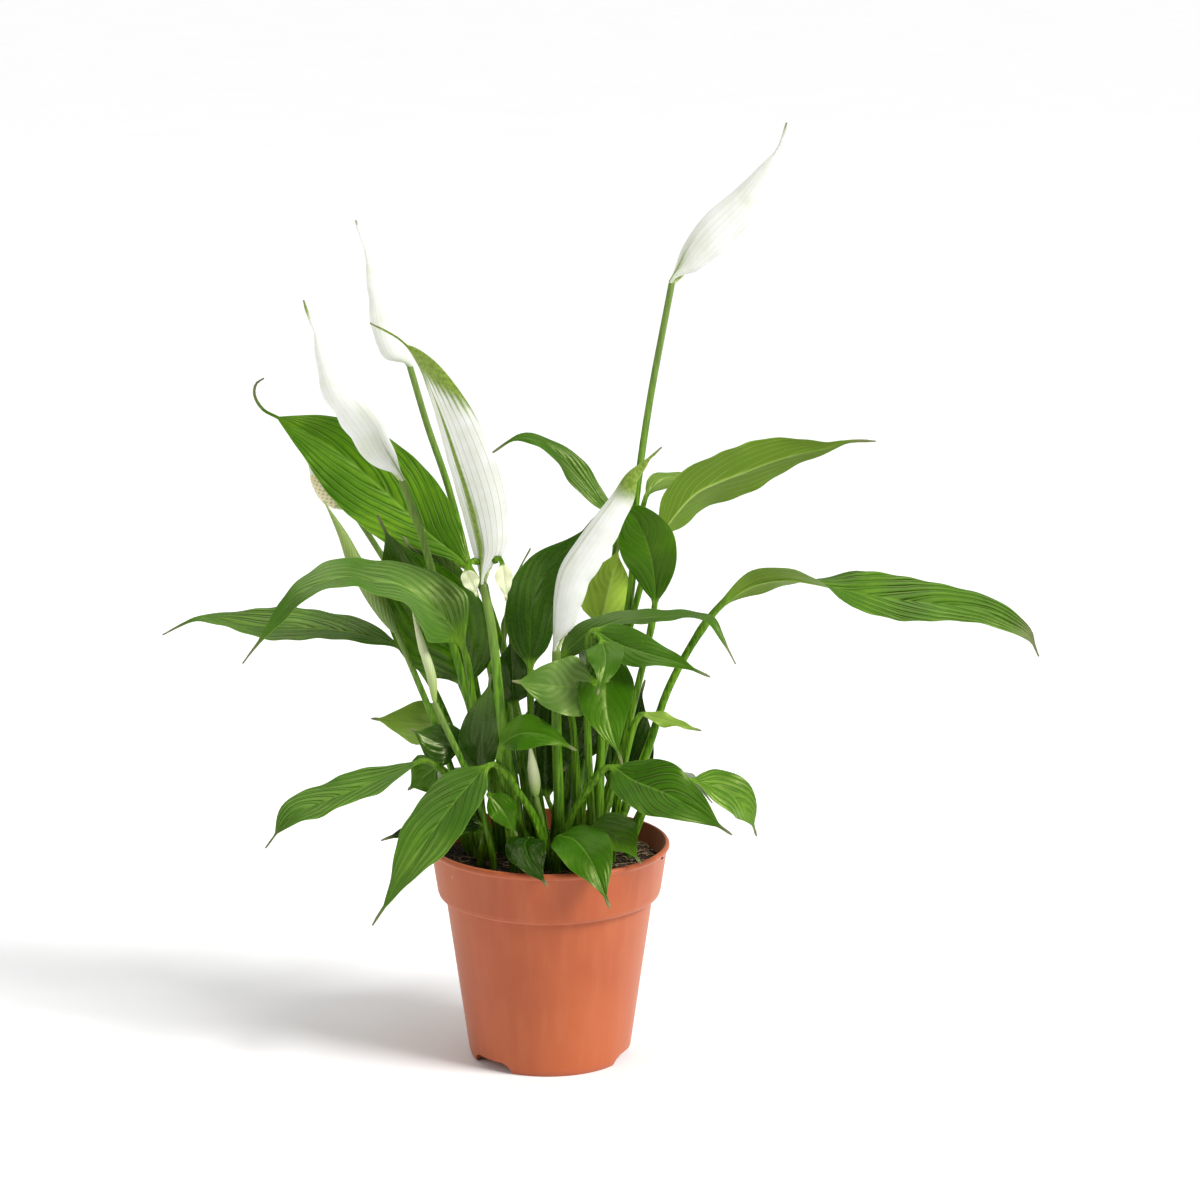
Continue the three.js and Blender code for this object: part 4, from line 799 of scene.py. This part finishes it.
def growSpathe(name, bloom, neck, heading):
    inner = squareTo(heading, Vector(bloom["faces"][0]))
    start = neck + heading * bloomForm["gap"] - inner * bloomForm["shift"]
    points = [start, *map(Vector, bloom["spathe"])]
    form = {**spatheForm, "curl": bloom["curl"], **bloom.get("form", {})}
    tint = {**plainTint, **bloom.get("tint", {})}
    rings, shares, _ = bladeRings(points, 0, bloom, form, bloomForm["footRadius"], sectionAt=spatheSection)
    places = [[(across, form["veins"] * abs(across), side) for across, side in sectionPoints]] * len(rings)
    tints = [[tintAt(tint, *point, share) for point in sectionPoints] for share, _ in shares]
    return rollGrid(name, rings, {"spathePlace": places, "spatheTint": tints}), points


# how thick the spadix is, and how rough, at a place along its path: stipe, spike, then the round tip
def spadixRadius(place, form):
    past = (place - form["stipe"] - bloomForm["gap"]) / form["length"]
    if past < 0:
        swell = form["radius"] * form["stipeTop"] - form["stipeRadius"]
        return form["stipeRadius"] + swell * stepUp(1 + past * 25), 0
    if past > 1:
        fall = max(1 - (past - 1) * form["length"] / form["tipLength"], 0)
        return form["radius"] * (form["tipShare"] + form["tipRound"] * fall ** 0.5), 0.6
    if past < form["shoulder"]:
        thick = form["shoulderShare"] + (1 - form["shoulderShare"]) * past / form["shoulder"]
    else:
        thick = 1 - form["topShare"] * ((past - form["shoulder"]) / (1 - form["shoulder"])) ** 4
    return form["radius"] * thick, min(past * 12, 1)


# knobs stand in two crossing spirals round the spike
def growSpadix(name, bloom, points):
    form = {**spadixForm, **bloom.get("spadix", {})}
    stations, whole = stationsAlong(points, 0, 1, form["gap"])
    tip = form["stipe"] + bloomForm["gap"] + form["length"] + form["tipLength"]
    rings, places = [], []
    for at, along, share in stations:
        place = share * whole
        if place > tip:
            break
        up = squareTo(along, faceAt(bloom["faces"], share))
        lift = form["footGap"] + (form["hollow"] - form["footGap"]) * stepUp(place / form["stipe"])
        radius, rough = spadixRadius(place, form)
        rise = wholeTurn * place / form["knobGap"]
        knobs = []
        for turn in circleTurns(form["around"]):
            crossing = math.cos(form["turnsLeft"] * turn + rise) + math.cos(form["turnsRight"] * turn - rise)
            knobs.append(max(0.0, 0.5 + 0.25 * crossing) ** 0.7)
        reaches = [radius + form["knob"] * rough * (knob - form["knobMiddle"]) for knob in knobs]
        rings.append(placeSection(at + up * lift, along, up, circleSection(reaches)))
        places.append([(knob, place, 1.0 - min(rough * 2, 1)) for knob in knobs])
    return rollGrid(name, rings, {"spadixPlace": places}, 75)


# a bud is a rolled sheet: its outer edge winds up it as a low step
def growBud(name, bud, end, heading):
    points = [end + heading * budForm["gap"], *map(Vector, bud["bud"])]
    stations, length = stationsAlong(points, 0, 1, budForm["ringGap"], budForm["leastRings"])
    up = squareTo(stations[0][1], Vector((0, -1, 0)))
    rings, places = [], []
    for at, along, share in stations:
        up = squareTo(along, up)
        place = budForm["from"] + (1 - budForm["from"]) * share ** budForm["skew"]
        swell = math.sin(math.pi * min(place, budForm["to"]))
        radius = max(bud["radius"] * swell, budForm["leastRadius"])
        wound = [turn / wholeTurn + budForm["twist"] * share for turn in circleTurns(budForm["around"])]
        steps = [stepUp(part % 1 / budForm["edge"]) * (1 - part % 1) for part in wound]
        reaches = [radius * (budForm["inner"] + budForm["overlap"] * step * swell) for step in steps]
        rings.append(placeSection(at, along, up, circleSection(reaches)))
        places.append([(part, share * length, share) for part in wound])
    return rollGrid(name, rings, {"stemPlace": places})


blooms = {
    "bloom_tall_right": dict(root=(3, 0), stemRadii=(2.2, 1.6),
        stem=[(18, 13, 160), (39, 14, 224), (43, 13, 280), (49, 12, 326), (60, 12, 387)], half=16, curl=170,
        spathe=[(63, 12, 394), (67, 12, 402), (73, 12, 411), (79, 12, 418), (92, 12, 430), (104, 12, 444),
            (111, 12, 453), (115, 12, 465)], faces=[(0.55, 0.65, -0.5)],
        tint=dict(rib=0.9, ribWidth=0.06, ribEnd=0.36, tip=0.5)),
    "bloom_tall_left": dict(root=(-14, 14), stemRadii=(2.2, 1.6),
        stem=[(-32, 38, 200), (-50, 52, 276), (-61, 50, 311), (-69, 45, 341)], half=12, curl=150,
        form=dict(widest=0.26),
        spathe=[(-72, 43, 350), (-76, 43, 360), (-80, 44, 373), (-86, 44, 390), (-91, 45, 403),
            (-95, 46, 414)], faces=[(-0.7, 0.7, 0)], tint=dict(rib=0.3, ribEnd=0.4, tip=0.5, tipStart=0.86)),
    "bloom_big_left": dict(root=(-13, -19), stemRadii=(2.6, 2.2),
        stem=[(-17, -26, 140), (-22, -31, 175), (-27, -29, 224), (-31, -27, 246)], half=20, curl=110,
        form=dict(widest=0.46, taper=0.75),
        spathe=[(-32, -26, 262), (-35, -26, 278), (-39, -26, 293), (-43, -26, 306), (-48, -26, 322),
            (-54, -26, 339), (-60, -27, 353), (-69, -28, 365), (-84, -29, 374)],
        faces=[(0.6, 0.8, 0.1), (0.75, 0.65, 0.2), (0.85, 0.45, 0.3)],
        tint=dict(rib=1.3, ribEnd=0.85, hood=1.25, tip=1, tipStart=0.74, veined=0.6),
        scraps=[dict(half=4.4, stalk=[(-33, -25, 257), (-37, -29, 258)], blade=[(-39, -30, 255),
            (-37, -30, 249), (-34, -31, 241)], faces=[(-0.4, -0.9, 0), (0.2, -1, 0)]), dict(half=4.4,
            stalk=[(-26, -28, 258), (-23, -30, 260)], blade=[(-22, -30, 258), (-21, -30, 250),
            (-20, -30, 239)], faces=[(0.2, -1, 0)])]),
    "bloom_left": dict(root=(-21, -3), stemRadii=(2.2, 1.8),
        stem=[(-38, 0, 175), (-52, -3, 229), (-63, -4, 270), (-71, -2, 292)], half=15, curl=170,
        form=dict(widest=0.42),
        spathe=[(-76, -3, 303), (-80, -3, 310), (-84, -4, 320), (-90, -5, 329), (-98, -6, 339),
            (-107, -7, 356), (-113, -8, 370), (-117, -9, 382)], faces=[(-0.7, 0.65, 0.2)],
        tint=dict(rib=0.9, ribWidth=0.06, ribEnd=0.34, tip=1)),
    "bloom_centre": dict(root=(7, -16), stemRadii=(2.8, 2.2),
        stem=[(5, -17, 136), (4, -17, 170), (4, -19, 211)], half=15, curl=180,
        form=dict(tail=0.06, taper=0.9),
        spathe=[(4, -21, 226), (5, -23, 239), (8, -24, 252), (16, -25, 265), (25, -25, 278), (33, -24, 289),
            (39, -24, 299), (47, -23, 306), (55, -23, 313)], faces=[(0.75, 0.6, -0.3), (0.65, 0.65, -0.4)],
        tint=dict(rib=0.4, ribWidth=0.03, ribEnd=1.1, tip=1, tipStart=0.66, veined=0)),
    "bloom_back_left": dict(root=(-24, 13), stemRadii=(2, 1.5),
        stem=[(-44, 36, 180), (-86, 66, 242), (-100, 68, 264)], half=12, curl=120,
        spathe=[(-110, 70, 274), (-118, 72, 286), (-126, 72, 298)], faces=[(-0.7, -0.4, -0.5)],
        spadix=dict(length=18)),
}

buds = {
    "bud_left": dict(finish="bud", root=(-27, -25), stemRadii=(1.8, 1.5),
        stem=[(-33, -27, 135), (-42, -28, 158), (-50, -26, 175), (-55, -24, 186)], radius=2.4,
        bud=[(-57, -22, 200), (-62, -20, 217), (-67, -19, 238)]),
    "bud_front": dict(finish="bud", root=(-1, -17), stemRadii=(1.8, 1.5),
        stem=[(-3, -26, 125), (-6, -29, 140)], radius=3, bud=[(-7, -30, 151), (-9, -31, 169)]),
    "bud_green_left": dict(finish="green_bud", root=(-37, -3), stemRadii=(1.8, 1.5),
        stem=[(-52, -6, 160), (-66, -8, 198), (-74, -9, 218)], radius=4.6,
        bud=[(-80, -8, 228), (-87, -8, 240), (-94, -8, 253), (-100, -8, 267), (-109, -8, 284)]),
}
for name, bloom in blooms.items():
    stem, neck, heading = rollStem(name + "_stem_grown", bloom["root"], bloom["stem"], bloom["stemRadii"],
                                   stemForm["joinUp"])
    settle(stem, stemPaint, "stem", name + "_stem")
    spathe, path = growSpathe(name + "_spathe_grown", bloom, neck, heading)
    spathe.data.materials.append(spathePaint)
    scraps = [growBlade("scrap", scrap, scrapLook) for scrap in bloom.get("scraps", [])]
    for scrap in scraps:
        scrap.data.materials.append(leafPaints["scrap"])
    dress(joinAll([spathe, *scraps]), "spathe", name + "_spathe")
    settle(growSpadix(name + "_spadix_grown", bloom, path), spadixPaint, "spadix", name + "_spadix")
print("blooms opened:", len(blooms))

for name, bud in buds.items():
    stem, end, heading = rollStem(name + "_stem_grown", bud["root"], bud["stem"], bud["stemRadii"],
                                  stemForm["budJoinUp"])
    swollen = growBud(name + "_grown", bud, end, heading)
    if bud["finish"] == "green_bud":
        swollen.data.materials.append(budPaints["green_bud"])
        stem.data.materials.append(stemPaint)
        dress(joinAll([swollen, stem]), "green_bud", name)
    else:
        settle(swollen, budPaints["bud"], "bud", name)
        settle(stem, stemPaint, "stem", name + "_stem")
print("buds closed:", len(buds))


# pot: its outline is spun, then the notches and drains are cut
pot = {"sides": 144, "height": 110, "padRadius": 25, "grooveInner": 26.6, "grooveOuter": 36,
       "grooveHeight": 5.6, "footRadius": 39.4, "footBevel": 2.6, "bodyLowRadius": 40.4,
       "bodyTopRadius": 51.7, "flangeHeight": 82.4, "flangeRadius": 55.7, "flangeRound": 3.5,
       "flangeInset": 0.8, "collarRadius": 58.8, "lipHeight": 3.2, "lipRound": 0.9, "rimRadius": 60,
       "rimWidth": 2, "wall": 1.2, "cornerWall": 0.6, "floor": 1.6, "softCorner": 0.7, "sharpAngle": 32}
notch = {"count": 3, "firstTurn": 253, "width": 28, "topWidth": 18, "height": 5, "shoulder": 1.6, "draft": 2,
         "reachIn": 3.5, "depth": 9.4}
drain = {"count": 6, "radius": 3, "circle": 31.2, "depth": 6, "sides": 32}
potTones = {"dark": (172, 80, 38), "light": (185, 94, 48), "drawn": (196, 110, 72), "foot": (150, 80, 56),
            "scuff": (242, 208, 186)}


def paintPot(tones):
    paint, tree = newPaint("paint_terracotta_plastic", {
        "Specular IOR Level": 0.4, "Sheen Weight": 0.3, "Sheen Roughness": 0.45,
        "Sheen Tint": (1, 0.78, 0.66, 1),
    }, glow=(0.08, (1.0, 0.4, 0.2), 0.0015))
    place = objectPlace(tree)
    broad, fine = cloud(place, 14), cloud(place, 1500, 2)
    drawn = cloud(objectPlace(tree, (1, 1, 0.08)), 160)
    height = threeParts(place)[2]
    body = blend(ease(broad, 0.3, 0.7), tones["dark"], tones["light"])
    body = blend(ease(drawn, 0.4, 0.75, 0.0, 0.25), body, tones["drawn"])
    body = blend(ease(height, 0.004, 0.0, 0.0, 0.3), body, tones["foot"])
    scuff = ease(grains(objectPlace(tree, (1, 1, 0.6)), 62), 0.055, 0.02)
    body = blend(scuff * ease(cloud(place, 30, 2), 0.55, 0.62), body, tones["scuff"])
    rough = ease(broad, 0.3, 0.7, 0.42, 0.54) + fine * 0.08
    return finishPaint(paint, body, rough, fine * 0.3 + drawn, 0.00012, 0.6)


def potOutline():
    wall, corner, rounding, lip = pot["wall"], pot["cornerWall"], pot["flangeRound"], pot["lipRound"]
    top, rim, flange, body = pot["height"], pot["rimRadius"], pot["flangeHeight"], pot["bodyTopRadius"]
    groove, grooveFloor, lipBottom = pot["grooveHeight"], pot["grooveHeight"] + wall, top - pot["lipHeight"]
    return [
        (0, 0), (pot["padRadius"], 0), (pot["grooveInner"], groove), (pot["grooveOuter"], groove),
        (pot["grooveOuter"] + wall, 0), (pot["footRadius"], 0), (pot["bodyLowRadius"], pot["footBevel"]),
        (body, flange), (pot["flangeRadius"] - pot["flangeInset"], flange + wall),
        (pot["flangeRadius"], flange + rounding), (pot["collarRadius"], lipBottom), (rim, lipBottom + lip),
        (rim, top - lip), (rim - lip, top), (rim - pot["rimWidth"], top),
        (pot["collarRadius"] - wall, lipBottom), (pot["flangeRadius"] - wall, flange + rounding + lip),
        (body - wall, flange + wall),
        (pot["bodyLowRadius"] - corner, grooveFloor), (pot["grooveInner"] + corner, grooveFloor),
        (pot["padRadius"] - corner, pot["floor"]), (0, pot["floor"]),
    ]


# each corner of an outline becomes a short arc
def softened(outline, reach):
    soft = [Vector(outline[0])]
    for before, corner, after in zip(outline, outline[1:], outline[2:]):
        before, corner, after = Vector(before), Vector(corner), Vector(after)
        back = (before - corner) * min(reach / (before - corner).length, 0.4)
        ahead = (after - corner) * min(reach / (after - corner).length, 0.4)
        for t in (0, 0.25, 0.5, 0.75, 1):
            soft.append(corner + back * (1 - t) ** 2 + ahead * t ** 2)
    return soft + [Vector(outline[-1])]


# a circle of as many corners as the outline has is laid on it, opened at the axis and spun
def spinOutline(name, outline, sides):
    onlySelect()
    bpy.ops.mesh.primitive_circle_add(vertices=len(outline), radius=1)
    piece = bpy.context.object
    piece.name = piece.data.name = name
    for vertex, (radius, height) in zip(piece.data.vertices, outline):
        vertex.co = (radius * mm, 0, height * mm)
    bpy.ops.object.mode_set(mode="EDIT")
    bpy.ops.mesh.select_mode(type="EDGE")
    bpy.ops.mesh.select_all(action="DESELECT")
    bpy.ops.object.mode_set(mode="OBJECT")
    for edge in piece.data.edges:
        edge.select = all(piece.data.vertices[v].co.x < 1e-7 for v in edge.vertices)
    bpy.ops.object.mode_set(mode="EDIT")
    bpy.ops.mesh.delete(type="EDGE")
    whole = {"steps": sides, "angle": wholeTurn, "center": (0, 0, 0), "axis": (0, 0, 1)}
    editMesh((bpy.ops.mesh.spin, whole), (bpy.ops.mesh.remove_doubles, {"threshold": 2e-6}))
    return piece


def notchCutter(turn):
    foot, side, top = notch["width"] / 2, notch["width"] / 2 - notch["draft"], notch["topWidth"] / 2
    height, shoulder = notch["height"], notch["height"] - notch["shoulder"]
    corners = [(-foot, -1), (foot, -1), (side, shoulder), (top, height), (-top, height), (-side, shoulder)]
    onlySelect()
    bpy.ops.mesh.primitive_circle_add(vertices=len(corners), radius=1, fill_type="NGON")
    cutter = bpy.context.object
    for vertex, (across, height) in zip(cutter.data.vertices, corners):
        vertex.co = (across * mm, (pot["grooveOuter"] - notch["reachIn"]) * mm, height * mm)
    outward = {"TRANSFORM_OT_translate": {"value": (0, notch["depth"] * mm, 0)}}
    editMesh((bpy.ops.mesh.extrude_region_move, outward))
    cutter.rotation_euler.z = math.radians(turn)
    return cutter


def drainCutter(turn):
    onlySelect()
    away = drain["circle"] * mm
    place = (away * math.cos(turn), away * math.sin(turn), pot["grooveHeight"] * mm)
    bpy.ops.mesh.primitive_cylinder_add(vertices=drain["sides"], radius=drain["radius"] * mm,
                                        depth=drain["depth"] * mm, location=place)
    return bpy.context.object


def cutWith(piece, cutter):
    onlySelect(piece)
    cut = piece.modifiers.new("cut", "BOOLEAN")
    cut.object = cutter
    cut.solver = "EXACT"
    bpy.ops.object.modifier_apply(modifier=cut.name)
    onlySelect(cutter)
    bpy.ops.object.delete()


potPiece = spinOutline("pot_turned", softened(potOutline(), pot["softCorner"]), pot["sides"])
for i in range(notch["count"]):
    cutWith(potPiece, notchCutter(notch["firstTurn"] + 360 * i / notch["count"]))
for turn in circleTurns(drain["count"]):
    cutWith(potPiece, drainCutter(turn))
settle(smoothBy(potPiece, pot["sharpAngle"]), paintPot(potTones), "terracotta_plastic", "pot")
print("pot turned")

# soil: the peat is spun too, and its top roughened
soil = {"gap": 0.4, "edgeRadius": 55.6, "edgeHeight": 99.5, "crownHeight": 102.5, "crownRadius": 46,
        "crownDrop": 0.8, "shoulderRadius": 51, "fall": 5, "sides": 150, "rings": 46, "lump": 1.1,
        "lumpScale": 0.09, "grit": 0.55, "gritScale": 0.5}
crumb = {"count": 560, "size": (0.5, 1.9), "lift": 0.2, "reach": 54, "onRim": [
    (36.5, -45.6, 110.3), (37.6, -44.6, 109.6), (55.5, -18.5, 106.5), (56.2, -16.2, 108.2),
    (35.6, -46.3, 110.2)]}
pearl = {"count": 46, "size": (0.5, 1.3), "lift": 0.5, "reach": 54, "onRim": []}
fibre = {"count": 150, "length": (6, 19), "radius": (0.13, 0.3), "reach": 50, "limit": 53, "steps": 11,
         "lift": 0.35, "arch": 1.1}
soilTones = {
    "peat": dict(dark=(24, 17, 12), brown=(58, 41, 28), pale=(112, 86, 60), paleShare=0.35),
    "crumb": dict(dark=(34, 24, 17), brown=(86, 62, 42), pale=(134, 106, 76), paleShare=0.5),
    "pearl": dict(dark=(176, 168, 152), brown=(226, 222, 210), pale=(246, 244, 238), paleShare=0.6),
    "fibre": dict(dark=(120, 92, 62), brown=(190, 164, 128), pale=(232, 218, 192), paleShare=0.7),
}


def paintSoil(name, tones):
    paint, tree = newPaint(name, {"Specular IOR Level": 0.25})
    place = objectPlace(tree)
    clods, fine = grains(place, 330), cloud(place, 900, 5, 0.7)
    earth = blend(ease(cloud(place, 60, 4), 0.35, 0.7), tones["dark"], tones["brown"])
    earth = blend(ease(fine, 0.5, 0.75, 0.0, tones["paleShare"]), earth, tones["pale"])
    earth = blend(ease(clods, 0.5, 0.9, 0.0, 0.6), earth, tones["dark"])
    return finishPaint(paint, earth, ease(fine, 0.3, 0.7, 0.75, 1.0), fine - clods, 0.0012, 1.0)


def soilHeight(x, y):
    away = math.hypot(x, y)
    level = soil["crownHeight"] - soil["crownDrop"] * stepUp((away - soil["crownRadius"]) / soil["fall"])
    level -= (level - soil["edgeHeight"]) * stepUp((away - soil["shoulderRadius"]) / soil["fall"])
    lump = noise.fractal(Vector((x, y, 3)) * soil["lumpScale"], 1.0, 2.0, 4)
    grit = noise.fractal(Vector((x, y, 9)) * soil["gritScale"], 0.9, 2.0, 3)
    return level + soil["lump"] * lump + soil["grit"] * grit


def soilOutline():
    gap = soil["gap"]
    inner = pot["wall"] + gap
    padTop, grooveTop = pot["floor"] + gap, pot["grooveHeight"] + inner
    flange = pot["flangeHeight"] + inner
    side = [
        (0, padTop), (pot["padRadius"] - pot["cornerWall"], padTop), (pot["grooveInner"] + gap, grooveTop),
        (pot["bodyLowRadius"] - inner, grooveTop), (pot["bodyTopRadius"] - inner, flange),
        (pot["flangeRadius"] - inner, flange + pot["flangeRound"]),
    ]
    shares = [1 - i / soil["rings"] for i in range(soil["rings"] + 1)]
    return side + [(soil["edgeRadius"] * share, soil["edgeHeight"]) for share in shares]


soilPiece = spinOutline("soil_turned", soilOutline(), soil["sides"])
for vertex in soilPiece.data.vertices:
    if vertex.co.z > (soil["edgeHeight"] - 1) * mm:
        vertex.co.z = soilHeight(vertex.co.x / mm, vertex.co.y / mm) * mm
soilPaints = {name: paintSoil("paint_" + name, tones) for name, tones in soilTones.items()}
settle(smoothBy(soilPiece, 60), soilPaints["peat"], "peat", "soil")


def spotOnSoil(reach):
    away, turn = reach * math.sqrt(random.random()), wholeTurn * random.random()
    return away * math.cos(turn), away * math.sin(turn)


# one ball is copied, and each copy gets its own place, size and lumps
def scatter(name, kind):
    onlySelect()
    bpy.ops.mesh.primitive_ico_sphere_add(subdivisions=1, radius=1)
    first = bpy.context.object
    first.name = name
    copies = [first]
    spots = list(kind["onRim"])
    for _ in range(kind["count"] + len(spots) - 1):
        copy = first.copy()
        copy.data = first.data.copy()
        bpy.context.collection.objects.link(copy)
        copies.append(copy)
    while len(spots) < len(copies):
        x, y = spotOnSoil(kind["reach"])
        spots.append((x, y, soilHeight(x, y) + kind["lift"]))
    least, most = kind["size"]
    for copy, spot in zip(copies, spots):
        size = least + (most - least) * random.random() ** 2.2
        shape = [size * (0.6 + 0.8 * random.random()) for _ in range(3)]
        turn = random.random() * 6
        shift = Vector((random.random() * 50, 0, 0))
        for vertex in copy.data.vertices:
            rough = 0.75 + 0.5 * noise.noise(vertex.co * 1.7 + shift)
            a, b, c = (vertex.co[i] * shape[i] * rough for i in range(3))
            across, along = a * math.cos(turn) - b * math.sin(turn), a * math.sin(turn) + b * math.cos(turn)
            vertex.co = (Vector(spot) + Vector((across, along, 0.7 * c))) * mm
    return smoothBy(joinAll(copies), 40)


settle(scatter("soil_crumbs", crumb), soilPaints["crumb"], "peat")
settle(scatter("soil_pearls", pearl), soilPaints["pearl"], "peat")


# a curled fibre is a thin round-bevelled curve made into mesh
def curlFibre():
    steps, limit = fibre["steps"], fibre["limit"]
    x, y = spotOnSoil(fibre["reach"])
    stride = random.uniform(*fibre["length"]) / steps
    heading, bend = random.random() * 6.3, random.uniform(-0.5, 0.5)
    path = bpy.data.curves.new("fibre", "CURVE")
    path.dimensions = "3D"
    path.bevel_depth = random.uniform(*fibre["radius"]) * mm
    path.bevel_resolution = 1
    path.use_fill_caps = True
    line = path.splines.new("POLY")
    line.points.add(steps)
    for i, point in enumerate(line.points):
        x += stride * math.cos(heading)
        y += stride * math.sin(heading)
        heading += bend + random.uniform(-0.12, 0.12)
        away = max(math.hypot(x, y), limit)
        x, y = x * limit / away, y * limit / away
        arch = fibre["arch"] * math.sin(math.pi * i / steps) * abs(bend)
        point.co = (x * mm, y * mm, (soilHeight(x, y) + fibre["lift"] + arch) * mm, 1)
        point.radius = 1 - 0.5 * i / steps
    made = bpy.data.objects.new("fibre", path)
    bpy.context.collection.objects.link(made)
    return made


onlySelect(*[curlFibre() for _ in range(fibre["count"])])
bpy.ops.object.convert(target="MESH")
fibres = joinAll(list(bpy.context.selected_objects))
fibres.name = fibres.data.name = "soil_fibres"
settle(smoothBy(fibres, 60), soilPaints["fibre"], "peat")
print("soil filled")

# floor and light, plain and pale
studio = {"floor": 60, "world": 0.285, "sun": 3.5, "sunAngle": 24, "sunTurn": (48, 0, 62), "boxes": [
    {"name": "topLight", "place": (-0.3, 0.5, 1.9), "turn": (-14, -8, 0), "size": 1.5, "power": 14},
    {"name": "sideLight", "place": (-1.6, -0.7, 1.0), "turn": (0, -62, 24), "size": 0.9, "power": 5},
]}


def paintFloor():
    paint, tree = newPaint("paint_floor", {"Specular IOR Level": 0.2, "Roughness": 0.9})
    pale = blend(cloud(objectPlace(tree), 6, 2), (255, 255, 255), (252, 252, 252))
    feed(tree.nodes["Principled BSDF"].inputs["Base Color"], pale)
    return paint


def addLight(kind, name, turn, power, place=(0, 0, 0)):
    bpy.ops.object.light_add(type=kind, location=place, rotation=[math.radians(part) for part in turn])
    light = bpy.context.object
    light.name = name
    light.data.energy = power
    return light.data


onlySelect()
bpy.ops.mesh.primitive_plane_add(size=studio["floor"])
floor = bpy.context.object
floor.name = "studio_floor"
floor.data.materials.append(paintFloor())
world = bpy.data.worlds.new("studio")
bpy.context.scene.world = world
world.use_nodes = True
backdrop = world.node_tree.nodes["Background"]
backdrop.inputs["Color"].default_value = (1, 1, 1, 1)
backdrop.inputs["Strength"].default_value = studio["world"]
addLight("SUN", "keyLight", studio["sunTurn"], studio["sun"]).angle = math.radians(studio["sunAngle"])
for box in studio["boxes"]:
    addLight("AREA", box["name"], box["turn"], box["power"], box["place"]).size = box["size"]
print("studio lit")
